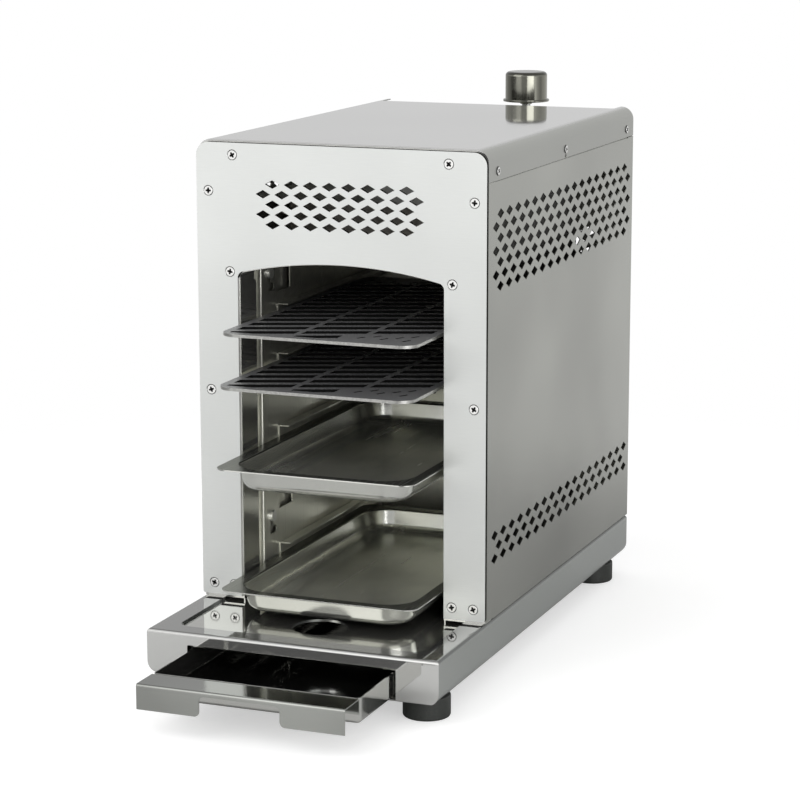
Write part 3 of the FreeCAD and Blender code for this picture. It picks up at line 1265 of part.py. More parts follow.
def clipped(polygon, edge_side):
    """Part of a convex polygon where edge_side(point) is not negative."""
    kept = []
    for i, current in enumerate(polygon):
        previous = polygon[i - 1]
        a = edge_side(previous)
        b = edge_side(current)
        if (a < 0) != (b < 0):
            t = a / (a - b)
            kept.append(tuple(p + t * (c - p) for p, c in zip(previous, current)))
        if b >= 0:
            kept.append(current)
    return kept


def grate_slots():
    """Slot outlines of a grate, and for each full slot the strip of its folded edge."""
    half = GRATE_WIDTH / 2 - GRATE_SIDE_RIM
    cells = []
    start = -half
    for web in GRATE_WEBS:
        cells.append((start, web - GRATE_WEB / 2))
        start = web + GRATE_WEB / 2
    cells.append((start, half))
    last = 1 + math.floor((GRATE_LENGTH - SOLID_CORNER - SLOT_WIDTH - FIRST_SLOT) / SLOT_PITCH)
    slots = []
    folds = []
    for k in range(-2, last + 1):
        for x0, x1 in cells:
            if k == -2:
                x1 = min(x1, DRAIN_END_SIDE)
            if k == last:
                x0 = max(x0, -DRAIN_END_SIDE)
            if x1 - x0 < LEAST_CELL:
                continue
            y0 = FIRST_SLOT + k * SLOT_PITCH + SLOT_RISE * (x0 + half)
            y1 = FIRST_SLOT + k * SLOT_PITCH + SLOT_RISE * (x1 + half)
            shape = [(x0, y0), (x1, y1), (x1, y1 + SLOT_WIDTH), (x0, y0 + SLOT_WIDTH)]
            shape = clipped(shape, lambda point: point[1] - GRATE_END_RIM)
            shape = clipped(shape, lambda point: GRATE_LENGTH - GRATE_END_RIM - point[1])
            depth = max([p[1] for p in shape], default=0) - min([p[1] for p in shape], default=0)
            if len(shape) < 3 or depth < LEAST_SLOT:
                continue
            slots.append(shape)
            if len(shape) == 4 and y0 > GRATE_END_RIM and x1 - x0 > 2 * LIP_END_GAP:
                a = x0 + LIP_END_GAP
                far = y0 + SLOT_WIDTH + SLOT_RISE * LIP_END_GAP
                near_end = y1 + SLOT_WIDTH
                if near_end + LIP_THICK < GRATE_LENGTH - GRATE_END_RIM:
                    folds.append([(a, far), (x1, near_end), (x1, near_end + LIP_THICK),
                                  (a, far + LIP_THICK)])
    return slots, folds


def slit(x, y):
    """Corners of one short slit in a grate's solid corner."""
    angle = math.radians(SLIT_ANGLE)
    along = (math.cos(angle) * SLIT_LENGTH / 2, math.sin(angle) * SLIT_LENGTH / 2)
    across = (-math.sin(angle) * SLIT_WIDTH / 2, math.cos(angle) * SLIT_WIDTH / 2)
    signs = ((-1, -1), (1, -1), (1, 1), (-1, 1))
    return [(x + a * along[0] + b * across[0], y + a * along[1] + b * across[1]) for a, b in signs]


def grate(seat, out):
    """Cooking grate: slanted slots with folded edges, and slits in its two solid corners."""
    slots, folds = grate_slots()
    for x, y in SLIT_PLACES:
        slots.append(slit(x, y))
        slots.append(slit(-x, GRATE_LENGTH - y))
    half = GRATE_WIDTH / 2
    low = seat + SLIDE_GAP
    outline = rounded_rect(-half, half, 0, GRATE_LENGTH, GRATE_CORNER)
    plate = slab("xy", low, low + GRATE_THICK, outline, slots)
    lips = [slab("xy", low - LIP_DROP, low + LIP_LAP, fold) for fold in folds]
    piece = fused([plate] + lips)
    piece.translate(V(0, -out, 0))
    return piece


def well(grow, top, floor, bend):
    """Solid of a tray's well with sloping sides and a rounded floor."""
    mouth = TRAY_WIDTH / 2 - TRAY_RIM + grow
    wires = []
    for height, inset in ((top, 0.0), (floor, TRAY_DRAFT)):
        wires.append(drawn("xy", height, rounded_rect(
            -mouth + inset, mouth - inset, TRAY_RIM - grow + inset, TRAY_LENGTH - TRAY_RIM + grow - inset,
            TRAY_WELL_CORNER + grow - inset)))
    block = Part.makeLoft(wires, True, True)
    return rounded(block, bend, lambda edge: lies_at(edge, floor))


def tray(seat, out):
    """Drawn tray: flat rim, rounded mouth, sloping sides and rounded floor."""
    rim_top = seat + SLIDE_GAP + TRAY_SHEET
    low = rim_top - TRAY_DEPTH
    half = TRAY_WIDTH / 2
    mouth = half - TRAY_RIM

    def at_mouth(height, reach):
        def wanted(edge):
            limits = edge.BoundBox
            inside = max(abs(limits.XMin), abs(limits.XMax)) < mouth + reach + TINY
            return lies_at(edge, height) and inside and limits.YMin > TRAY_RIM - reach - TINY
        return wanted

    rim = slab("xy", rim_top - TRAY_SHEET, rim_top,
               rounded_rect(-half, half, 0, TRAY_LENGTH, TRAY_RIM_CORNER))
    outside = fused([rim, well(TRAY_SHEET, rim_top, low, TRAY_FLOOR_BEND + TRAY_SHEET)])
    above = box(-half - CUT_OVER, half + CUT_OVER, -CUT_OVER, TRAY_LENGTH + CUT_OVER,
                rim_top, rim_top + CUT_OVER)
    inside = fused([above, well(0.0, rim_top, low + TRAY_SHEET, TRAY_FLOOR_BEND)])
    inside = rounded(inside, TRAY_MOUTH_BEND, at_mouth(rim_top, 0.5))
    piece = outside.cut(inside)
    piece.translate(V(0, -out, 0))
    return piece


def pieces():
    """Every node of the grill by name."""
    panel = side_panel()
    one_rack = rack()
    one_guides = guides()
    one_liner = liner()
    one_rail = drawer_rail()
    return {
        "front_plate": front_plate(),
        "plate_screws": group(plate_screws()),
        "front_frame": front_frame(),
        "top_cover": top_cover(),
        "cover_screws": group(cover_screws()),
        "side_panel_right": panel,
        "side_panel_left": mirrored(panel),
        "back_panel": back_panel(),
        "back_screws": group(back_screws()),
        "base_pan": base_pan(),
        "body_screws": group(body_screws()),
        "drawer_rail_right": one_rail,
        "drawer_rail_left": mirrored(one_rail),
        "drawer_pan": drawer_pan(),
        "drawer_handle": drawer_handle(),
        "foot_front_left": foot(-1, FOOT_FRONT_Y),
        "foot_front_right": foot(1, FOOT_FRONT_Y),
        "foot_rear_left": foot(-1, FOOT_REAR_Y),
        "foot_rear_right": foot(1, FOOT_REAR_Y),
        "foot_bolts": foot_bolts(),
        "foot_nuts": foot_nuts(),
        "rack_right": one_rack,
        "rack_left": mirrored(one_rack),
        "guides_right": one_guides,
        "guides_left": mirrored(one_guides),
        "rack_studs": rack_studs(),
        "liner_right": one_liner,
        "liner_left": mirrored(one_liner),
        "liner_back": liner_back(),
        "heat_shield": heat_shield(),
        "burner_housing": burner_housing(),
        "burner_tiles": burner_tiles(),
        "tile_gasket": tile_gasket(),
        "burner_guard": burner_guard(),
        "burner_brackets": burner_brackets(),
        "venturi_tube": venturi_tube(),
        "jet_holder": jet_holder(),
        "gas_jet": gas_jet(),
        "gas_pipe": gas_pipe(),
        "pipe_nuts": pipe_nuts(),
        "valve_carrier": valve_carrier(),
        "carrier_screws": group(carrier_screws()),
        "valve_body": valve_body(),
        "valve_nut": valve_nut(),
        "gas_inlet": gas_inlet(),
        "valve_stem": valve_stem(),
        "valve_plunger": valve_plunger(),
        "return_spring": return_spring(),
        "knob": knob(),
        "thermocouple": probe(1, 1.6),
        "igniter_electrode": probe(-1, 1.0),
        "tray_lower": tray(LOWER_TRAY_SEAT, LOWER_TRAY_OUT),
        "tray_upper": tray(UPPER_TRAY_SEAT, UPPER_TRAY_OUT),
        "grate_lower": grate(LOWER_GRATE_SEAT, LOWER_GRATE_OUT),
        "grate_upper": grate(UPPER_GRATE_SEAT, UPPER_GRATE_OUT),
    }


os.makedirs("parts", exist_ok=True)
for name, shape in pieces().items():
    shape.translate(CENTRE)
    shape.exportStep("parts/" + name + ".step")
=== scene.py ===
import json
import math

import bmesh
import bpy
from mathutils import Matrix, Vector

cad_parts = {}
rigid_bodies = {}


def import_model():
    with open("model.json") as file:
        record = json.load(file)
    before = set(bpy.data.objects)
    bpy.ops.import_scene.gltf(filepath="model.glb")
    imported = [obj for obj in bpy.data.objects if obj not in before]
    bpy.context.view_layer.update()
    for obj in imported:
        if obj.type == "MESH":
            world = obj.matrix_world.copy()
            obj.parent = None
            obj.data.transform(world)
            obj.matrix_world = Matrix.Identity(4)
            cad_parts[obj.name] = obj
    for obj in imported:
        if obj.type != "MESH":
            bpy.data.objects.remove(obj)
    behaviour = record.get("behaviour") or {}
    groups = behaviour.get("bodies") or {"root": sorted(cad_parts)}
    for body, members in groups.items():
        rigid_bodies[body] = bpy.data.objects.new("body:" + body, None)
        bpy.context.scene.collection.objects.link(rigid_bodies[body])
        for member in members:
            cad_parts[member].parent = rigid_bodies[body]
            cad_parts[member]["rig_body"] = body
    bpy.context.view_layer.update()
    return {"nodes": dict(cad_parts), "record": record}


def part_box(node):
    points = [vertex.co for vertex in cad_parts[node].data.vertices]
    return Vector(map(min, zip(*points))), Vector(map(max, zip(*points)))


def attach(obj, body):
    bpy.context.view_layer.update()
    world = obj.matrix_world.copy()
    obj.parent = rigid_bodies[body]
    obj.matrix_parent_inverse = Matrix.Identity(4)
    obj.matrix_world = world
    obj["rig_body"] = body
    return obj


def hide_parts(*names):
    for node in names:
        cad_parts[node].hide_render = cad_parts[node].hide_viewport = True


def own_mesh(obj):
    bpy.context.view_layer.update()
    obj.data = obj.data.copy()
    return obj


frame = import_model()

# The infrared steak grill with its finishes, rounded sheet edges and screw recesses, in a plain
# studio, seen from the photograph's angle.
MM = 0.001

# Camera: its place from the middle of the front plate's lower edge, and its aim.
CAMERA_OFFSET = Vector((0.83588, -1.97165, 0.61685))
CAMERA_AZIMUTH = math.radians(21.645)
CAMERA_DOWN = math.radians(11.582)
CAMERA_ROLL = math.radians(-0.091)
CAMERA_LENS = 118.70

# Light, with strengths at which a pale surface stays just under white.
LAMP_AIM = (0, 0, 0.2)
LAMPS = (("key", (-2.0, -2.6, 2.6), 3.6, 76), ("front", (2.2, -2.1, 0.8), 2.2, 40),
         ("back", (0.2, 1.6, 3.4), 3.4, 9))
WORLD_FILL = 0.72
SKY_TOP = 0.76
SKY_BLEND = (-0.02, 0.2)
# What metal sees round the horizon: azimuth from the front to the right, and level there.
SKY_LEVELS = ((-180, 0.75), (-120, 0.5), (-90, 0.3), (-66, 0.12), (-46, 0.14), (-31, 1.0),
              (-13, 1.1), (-3, 0.2), (22, 0.14), (48, 0.95), (66, 1.1), (90, 0.5), (104, 0.34),
              (130, 0.6), (158, 0.76), (180, 0.75))

# Floor: the levels are those of its own colour, of what metal sees and of what it adds for the
# camera. The fade is the distances at which it starts and ends to give way to the background.
FLOOR_RADIUS = 1.6
FLOOR_SIDES = 96
FLOOR_COLOUR = 0.64
FLOOR_MOTTLE = 0.01
FLOOR_CELLS = (3.0,) * 3
FLOOR_GLOSS = 0.5
FLOOR_LIFT = 0.5
FLOOR_FADE = (0.42, 1.0)

# Finishes. A noise is its detail and roughness; a turn is how far a face's normal looks along an
# axis where a change of colour starts and ends, which paints shade by facing; the rise of the
# painted shade higher up the cavity is two heights.
TONE = 0.15
STREAK_NOISE = (4.0, 0.6)
CLOUD_NOISE = (2.0, 0.5)
FLANK_TURN = (0.06, 0.5)
OUTER_TURN = (0.2, 0.6)
TOP_TURN = (0.05, 0.5)
HIGH_SHADE_RISE = (0.15, 0.31)
FINE_CELLS = (900.0,) * 3

# Dressing of the sheet parts.
WELD = 0.00001
FLAT_ANGLE = math.radians(0.4)
SHARP_ANGLE = math.radians(30)
BEVEL_STEPS = 2
FACE_WEIGHT = 100
STEEP = 0.5
LEVEL_STEP = 1.5 * MM
SEAM_REACH = 0.3 * MM
JAMB_HEIGHT = 50 * MM
JAMB_INSET = 5 * MM

# Cross-head screws, in shares of the head's radius. The turns are the recesses' angles.
CROSS_ARM = 0.56
CROSS_HALF = 0.14
CROSS_FLARE = 0.22
CROSS_DEPTH = 0.7
CROSS_TAPER = 0.55
HEAD_SIDES = 48
HEAD_LIP = 0.96
HEAD_DROP = 0.04
CROWN_STEP = 0.03
SHANK_MARGIN = 1.02
END_REACH = WELD * 10
SCREW_TURNS = (0.35, 1.1, 0.8, 0.15, 0.6, 1.3, 0.05, 0.95, 0.5, 1.2, 0.25, 0.7)


def make_camera():
    """The photograph's camera, set by azimuth, elevation and roll."""
    low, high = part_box("front_plate")
    foot = Vector(((low.x + high.x) / 2, low.y, low.z))
    ahead = Vector((-math.sin(CAMERA_AZIMUTH) * math.cos(CAMERA_DOWN),
                    math.cos(CAMERA_AZIMUTH) * math.cos(CAMERA_DOWN), -math.sin(CAMERA_DOWN)))
    right = ahead.cross(Vector((0, 0, 1))).normalized()
    up = right.cross(ahead)
    turned_right = right * math.cos(CAMERA_ROLL) + up * math.sin(CAMERA_ROLL)
    turned_up = up * math.cos(CAMERA_ROLL) - right * math.sin(CAMERA_ROLL)
    data = bpy.data.cameras.new("camera")
    data.lens = CAMERA_LENS
    camera = bpy.data.objects.new("camera", data)
    bpy.context.scene.collection.objects.link(camera)
    axes = Matrix((turned_right, turned_up, -ahead)).transposed().to_4x4()
    camera.matrix_world = Matrix.Translation(foot + CAMERA_OFFSET) @ axes
    bpy.context.scene.camera = camera


class Nodes:
    """Small helper to wire the node tree of a material or the world."""

    def __init__(self, tree):
        self.tree = tree
        tree.nodes.clear()

    def add(self, kind, **settings):
        """A node; settings are attributes, or sockets by their label with _ for a space."""
        node = self.tree.nodes.new(kind)
        for name, value in settings.items():
            if hasattr(node, name):
                setattr(node, name, value)
            else:
                node.inputs[name.replace("_", " ")].default_value = value
        return node

    def join(self, source, socket, target, into):
        """Wires one node's output to another's input."""
        self.tree.links.new(source.outputs[socket], target.inputs[into])

    def place(self):
        """Position on the part in metres, and its normal."""
        return self.add("ShaderNodeTexCoord")

    def parted(self, place, socket):
        """The three numbers of a position, direction or normal."""
        node = self.add("ShaderNodeSeparateXYZ")
        self.join(place, socket, node, 0)
        return node

    def noise(self, place, scale, detail=3.0, roughness=0.55):
        """Noise with its own scale along each axis, in cells per metre."""
        mapping = self.add("ShaderNodeMapping")
        mapping.inputs["Scale"].default_value = scale
        self.join(place, "Object", mapping, "Vector")
        noise = self.add("ShaderNodeTexNoise", Scale=1.0, Detail=detail, Roughness=roughness)
        self.join(mapping, "Vector", noise, "Vector")
        return noise

    def ranged(self, source, socket, low, high, start=0.3, end=0.7):
        """A number from low to high as the source goes from start to end."""
        node = self.add("ShaderNodeMapRange")
        for name, value in (("From Min", start), ("From Max", end), ("To Min", low),
                            ("To Max", high)):
            node.inputs[name].default_value = value
        self.join(source, socket, node, "Value")
        return node

    def math(self, operation, source, socket, other=0.0, other_socket="Value"):
        """A node's number put together with another, which is a node's or a plain value."""
        node = self.add("ShaderNodeMath", operation=operation)
        self.join(source, socket, node, 0)
        if isinstance(other, (int, float)):
            node.inputs[1].default_value = other
        else:
            self.join(other, other_socket, node, 1)
        return node

    def tinted(self, factor, socket, dark, pale):
        """A colour between two, by a factor; each is a colour or a mix node with one."""
        mix = self.add("ShaderNodeMix", data_type="RGBA")
        for slot, colour in ((6, dark), (7, pale)):
            if isinstance(colour, tuple):
                mix.inputs[slot].default_value = (*colour, 1)
            else:
                self.join(colour, 2, mix, slot)
        self.join(factor, socket, mix, 0)
        return mix

    def mixed(self, factor, socket, first, second):
        """A number between those of two nodes, by a factor."""
        mix = self.add("ShaderNodeMix", data_type="FLOAT")
        self.join(factor, socket, mix, 0)
        self.join(first, 0, mix, 2)
        self.join(second, 0, mix, 3)
        return mix

    def dimmed(self, tint, mask):
        """A mix node's colour times a range node's number."""
        mix = self.add("ShaderNodeMix", data_type="RGBA", blend_type="MULTIPLY")
        mix.inputs[0].default_value = 1.0
        self.join(tint, 2, mix, 6)
        self.join(mask, "Result", mix, 7)
        return mix


def shaded(colour, share):
    """A colour made darker or paler by a share."""
    return tuple(channel * share for channel in colour)


def toned(net, factor, colour):
    """A colour from a little darker to a little paler, by a factor."""
    return net.tinted(factor, "Result", shaded(colour, 1 - TONE), shaded(colour, 1 + TONE))


def roughened(net, noise, roughness, spread):
    """A roughness that changes with a noise."""
    return net.ranged(noise, "Fac", roughness - spread / 2, roughness + spread / 2)


def grain_scale(axis, along, across):
    """Cells per metre on each axis for a grain that runs along one of them."""
    return tuple(along if name == axis else across for name in "XYZ")


def new_material(name):
    """An empty node material and its helper."""
    material = bpy.data.materials.new(name)
    material.use_nodes = True
    return material, Nodes(material.node_tree)


def finished(net, shader, noise, bump):
    """A relief from a noise, its depth in millimetres, and the material's output."""
    relief = net.add("ShaderNodeBump", Strength=1.0, Distance=bump * MM)
    net.join(noise, "Fac", relief, "Height")
    net.join(relief, "Normal", shader, "Normal")
    output = net.add("ShaderNodeOutputMaterial")
    net.join(shader, "BSDF", output, "Surface")


def metal(name, colour, roughness, axis="X", grain=0.05, spread=0.06, clouds=0.03, bump=0.02,
          along=14.0, across=1500.0, flank_shade=None, flank_roughness=None, cloud_cells=9.0,
          outer_shade=1.0, top=1.0, high_shade=1.0, edge=1.0, metallic=0.93):
    """Rolled or brushed metal: streaks along an axis, soft clouds and a fine bump.

    The flank colour, for faces that look left and right, is a darker copy of the colour: painted
    shade. The outer share darkens faces that look away from the middle and the top share those
    that look up; a third share darkens faces higher up, towards the burner. All of these paint
    shade.
    Edge is the tint at flat angles."""
    material, net = new_material(name)
    place = net.place()
    streaks = net.noise(place, grain_scale(axis, along, across), *STREAK_NOISE)
    cloud = net.noise(place, (cloud_cells,) * 3, *CLOUD_NOISE)
    streak_part = net.ranged(streaks, "Fac", -grain, grain)
    cloud_part = net.ranged(cloud, "Fac", -clouds, clouds)
    both = net.math("ADD", streak_part, "Result", cloud_part, "Result")
    factor = net.ranged(both, "Value", 0.0, 1.0, -TONE, TONE)
    tint = toned(net, factor, colour)
    rough = roughened(net, streaks, roughness, spread)
    # Faces that look left and right take a darker copy of the colour: painted shade.
    if flank_shade:
        size = net.math("ABSOLUTE", net.parted(place, "Normal"), "X")
        side = net.ranged(size, "Value", 0.0, 1.0, *FLANK_TURN)
        tint = net.tinted(side, "Result", tint, toned(net, factor, flank_shade))
        side_rough = roughened(net, streaks, flank_roughness, spread)
        rough = net.mixed(side, "Result", rough, side_rough)
    # Faces that look away from the middle are darkened: painted shade.
    if outer_shade < 1:
        side_sign = net.math("SIGN", net.parted(place, "Object"), "X")
        away = net.math("MULTIPLY", net.parted(place, "Normal"), "X", side_sign)
        tint = net.dimmed(tint, net.ranged(away, "Value", 1.0, outer_shade, *OUTER_TURN))
    # Faces that look up are darkened: painted shade.
    if top < 1:
        facing = net.parted(place, "Normal")
        tint = net.dimmed(tint, net.ranged(facing, "Z", 1.0, top, *TOP_TURN))
    # Faces higher up, towards the burner, are darkened: painted shade.
    if high_shade < 1:
        level = net.parted(place, "Object")
        tint = net.dimmed(tint, net.ranged(level, "Z", 1.0, high_shade, *HIGH_SHADE_RISE))
    shader = net.add("ShaderNodeBsdfPrincipled", Metallic=metallic)
    shader.inputs["Specular Tint"].default_value = (edge, edge, edge, 1)
    net.join(tint, 2, shader, "Base Color")
    net.join(rough, 0, shader, "Roughness")
    finished(net, shader, streaks, bump)
    return material


def plain(name, dark, pale, roughness, cells=FINE_CELLS, bump=0.02, specular=0.5, spread=0.12):
    """Non-metal with a fine mottled colour and relief."""
    material, net = new_material(name)
    noise = net.noise(net.place(), cells, *STREAK_NOISE)
    shader = net.add("ShaderNodeBsdfPrincipled", Specular_IOR_Level=specular)
    tint = net.tinted(net.ranged(noise, "Fac", 0.0, 1.0), "Result", dark, pale)
    net.join(tint, 2, shader, "Base Color")
    net.join(roughened(net, noise, roughness, spread), "Result", shader, "Roughness")
    finished(net, shader, noise, bump)
    return material


# Flank colours and the outer, top and burner shares below darken faces by where they look or how
# high they stand: painted shade.
METALS = {
    "plate_steel": dict(colour=(0.8, 0.815, 0.795), roughness=0.38, grain=0.02, clouds=0.09,
                        bump=0.012, along=60.0, across=2500.0, cloud_cells=5.0),
    "frame_steel": dict(colour=(0.62, 0.62, 0.59), roughness=0.16, axis="Z", top=0.12),
    "cover_steel": dict(colour=(0.555, 0.555, 0.55), roughness=0.05, axis="Y", grain=0.01,
                        spread=0.03, bump=0.0005, clouds=0.07, cloud_cells=4.0,
                        flank_shade=(0.42, 0.425, 0.4), flank_roughness=0.34),
    # The side panels' steel is a darker copy of the plate's steel: painted shade.
    "panel_steel": dict(colour=(0.38, 0.385, 0.355), roughness=0.26, axis="Y", grain=0.005,
                        spread=0.02, clouds=0.16, bump=0.0003, cloud_cells=5.0),
    "base_steel": dict(colour=(0.82, 0.82, 0.8), roughness=0.05, grain=0.015, spread=0.03,
                       bump=0.0005, flank_shade=(0.52, 0.54, 0.52), flank_roughness=0.26, top=0.29,
                       metallic=0.9),
    "drawer_steel": dict(colour=(0.66, 0.66, 0.63), roughness=0.07, grain=0.02, spread=0.04,
                         bump=0.001, top=0.24, metallic=0.98),
    "handle_steel": dict(colour=(0.5, 0.51, 0.48), roughness=0.1, grain=0.03, spread=0.04,
                         bump=0.001, clouds=0.3, cloud_cells=6.0, top=0.4, metallic=0.98),
    "tray_steel": dict(colour=(0.68, 0.685, 0.645), roughness=0.2, axis="Y", grain=0.03,
                       clouds=0.08, bump=0.003, metallic=0.9),
    # The cavity and liner steel are given a pale colour that stands for light inside the cavity:
    # painted light; they darken higher up as painted shade.
    "cavity_steel": dict(colour=(0.86, 0.86, 0.78), roughness=0.3, axis="Z", clouds=0.1,
                         bump=0.004, high_shade=0.52, metallic=0.88),
    "liner_steel": dict(colour=(0.86, 0.86, 0.78), roughness=0.34, axis="Y", clouds=0.1,
                        bump=0.006, outer_shade=0.2, high_shade=0.52, metallic=0.88),
    "burner_steel": dict(colour=(0.34, 0.32, 0.29), roughness=0.42, axis="Y", clouds=0.2),
    "brass": dict(colour=(0.72, 0.55, 0.26), roughness=0.28, axis="Z", clouds=0.06),
    "valve_metal": dict(colour=(0.52, 0.5, 0.44), roughness=0.42, axis="Z", clouds=0.1),
    "pipe_metal": dict(colour=(0.7, 0.7, 0.69), roughness=0.3, axis="Y"),
    "stem_steel": dict(colour=(0.6, 0.6, 0.58), roughness=0.22, axis="Z", bump=0.01),
    "spring_steel": dict(colour=(0.45, 0.45, 0.44), roughness=0.3, axis="Z"),
    "knob_metal": dict(colour=(0.3, 0.298, 0.256), roughness=0.14, axis="Z", bump=0.002,
                       top=0.22, metallic=0.98),
    "screw_steel": dict(colour=(0.93, 0.93, 0.91), roughness=0.3, grain=0.03, bump=0.002),
    "lead_copper": dict(colour=(0.6, 0.36, 0.22), roughness=0.32, axis="Y"),
}
NON_METALS = {
    "burner_ceramic": dict(dark=(0.6, 0.55, 0.46), pale=(0.8, 0.76, 0.68), roughness=0.85,
                           bump=0.1),
    "gasket_fibre": dict(dark=(0.5, 0.48, 0.43), pale=(0.72, 0.7, 0.65), roughness=0.9,
                         cells=(1500.0, 500.0, 1500.0), bump=0.15),
    "grate_iron": dict(dark=(0.09, 0.09, 0.092), pale=(0.14, 0.14, 0.143), roughness=0.42),
    "foot_rubber": dict(dark=(0.018, 0.02, 0.018), pale=(0.032, 0.035, 0.031), roughness=0.5,
                        cells=(600.0,) * 3, bump=0.05),
    "lead_ceramic": dict(dark=(0.66, 0.65, 0.61), pale=(0.8, 0.79, 0.75), roughness=0.4,
                         cells=(500.0,) * 3),
}
MATERIALS = {name: metal(name, **finish) for name, finish in METALS.items()}
MATERIALS.update({name: plain(name, **finish) for name, finish in NON_METALS.items()})

# Finishes of single faces.
# The tray's rim, a darker copy of its steel, is painted shade; its floor, a paler copy, is painted
# light.
TRAY_RIM_SHADE = metal("tray_rim_shade", (0.34, 0.345, 0.32), 0.26, "Y", grain=0.03, clouds=0.06, bump=0.003,
                 edge=0.3)
TRAY_FLOOR_LIGHT = metal("tray_floor_light", (0.84, 0.845, 0.78), 0.22, "Y", grain=0.1, spread=0.16,
                   clouds=0.2, along=4.0, across=60.0, cloud_cells=14.0, metallic=0.86)
# Near-black cut edges and bevels, also the wide bevel at a side panel's top seam: painted shade.
CUT_SHADE = metal("cut_edge_shade", (0.035, 0.035, 0.032), 0.5, "Z", edge=0.1, metallic=0.98)
# Pale jamb faces of the plate's opening: a painted highlight.
CUT_HIGHLIGHT = metal("cut_highlight", (0.85, 0.85, 0.83), 0.5, "Z", metallic=0.7)
# The base's recess floor, a darker copy of the base steel: painted shade.
BASIN_SHADE = metal("basin_shade", (0.42, 0.42, 0.395), 0.07, grain=0.02, spread=0.04, clouds=0.06,
              bump=0.001, metallic=0.95)
GRATE_EDGE = metal("grate_edge", (0.46, 0.46, 0.44), 0.4, "Z", grain=0.3, clouds=0.0, bump=0.04,
                   along=700.0, across=700.0)
# The walls of the grate's slots, near black: painted shade.
SLOT_SHADE = plain("grate_slot_shade", (0.002, 0.002, 0.002), (0.006, 0.006, 0.006), 0.8, specular=0.05)
# Screw recesses and the ring round each crown, near black: painted shade.
RECESS_SHADE = plain("recess_shade", (0.012, 0.012, 0.011), (0.03, 0.03, 0.028), 0.45)

SLOT_OF_NODE = {row["node"]: row["material_slot"] for row in frame["record"]["subparts"]}


def link(name, mesh, node, slot):
    """A piece with a mesh, a finish and the body of the CAD node that it stands for."""
    piece = bpy.data.objects.new(name, mesh)
    bpy.context.scene.collection.objects.link(piece)
    if not mesh.materials:
        mesh.materials.append(MATERIALS[slot])
    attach(piece, frame["nodes"][node]["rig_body"])
    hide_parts(node)
    return piece


def smoothed(mesh):
    """Smooth shading that stops at sharp edges."""
    mesh.shade_smooth()
    mesh.set_sharp_from_angle(angle=SHARP_ANGLE)


def paint_walls(work):
    """Marks the outline of a grate with its first extra finish, and its slots with the second."""
    # The slots' walls take the second finish, which paints shade in them.
    upright = [face for face in work.faces if abs(face.normal.z) < STEEP]
    for face in upright:
        face.material_index = 2
    rest = set(upright)
    first = min(upright, key=lambda face: face.calc_center_median().y)
    rest.discard(first)
    waiting = [first]
    while waiting:
        face = waiting.pop()
        face.material_index = 1
        for side in face.edges:
            for other in side.link_faces:
                if other in rest:
                    rest.discard(other)
                    waiting.append(other)


def paint_levels(work, rim, floor):
    """Marks faces that look up: those at the part's top with rim, the deeper ones with floor."""
    # The rim and floor finishes are copies of the part's steel in other tones: painted light and
    # shade.
    top = max(vertex.co.z for vertex in work.verts)
    for face in work.faces:
        if face.normal.z > STEEP:
            high = top - face.calc_center_median().z < LEVEL_STEP
            face.material_index = rim if high else floor


def paint_cut(work):
    """Marks the thickness of a front plate: the jambs of its opening apart from all the rest."""
    # The outline and holes take a finish that paints shade, the jambs one that paints a highlight.
    half = max(vertex.co.x for vertex in work.verts)
    for face in work.faces:
        if abs(face.normal.y) < STEEP:
            heights = [vertex.co.z for vertex in face.verts]
            jamb = max(heights) - min(heights) > JAMB_HEIGHT
            inside = half - abs(face.calc_center_median().x) > JAMB_INSET
            face.material_index = 2 if jamb and inside else 1


def weigh_seam(work, share):
    """Gives sharp edges at the part's top the whole bevel and the others a share of it."""
    top = max(vertex.co.z for vertex in work.verts)
    weight = work.edges.layers.float.new("bevel_weight_edge")
    for edge in work.edges:
        if edge.calc_face_angle(0.0) > SHARP_ANGLE:
            high = all(top - vertex.co.z < SEAM_REACH for vertex in edge.verts)
            edge[weight] = 1.0 if high else share


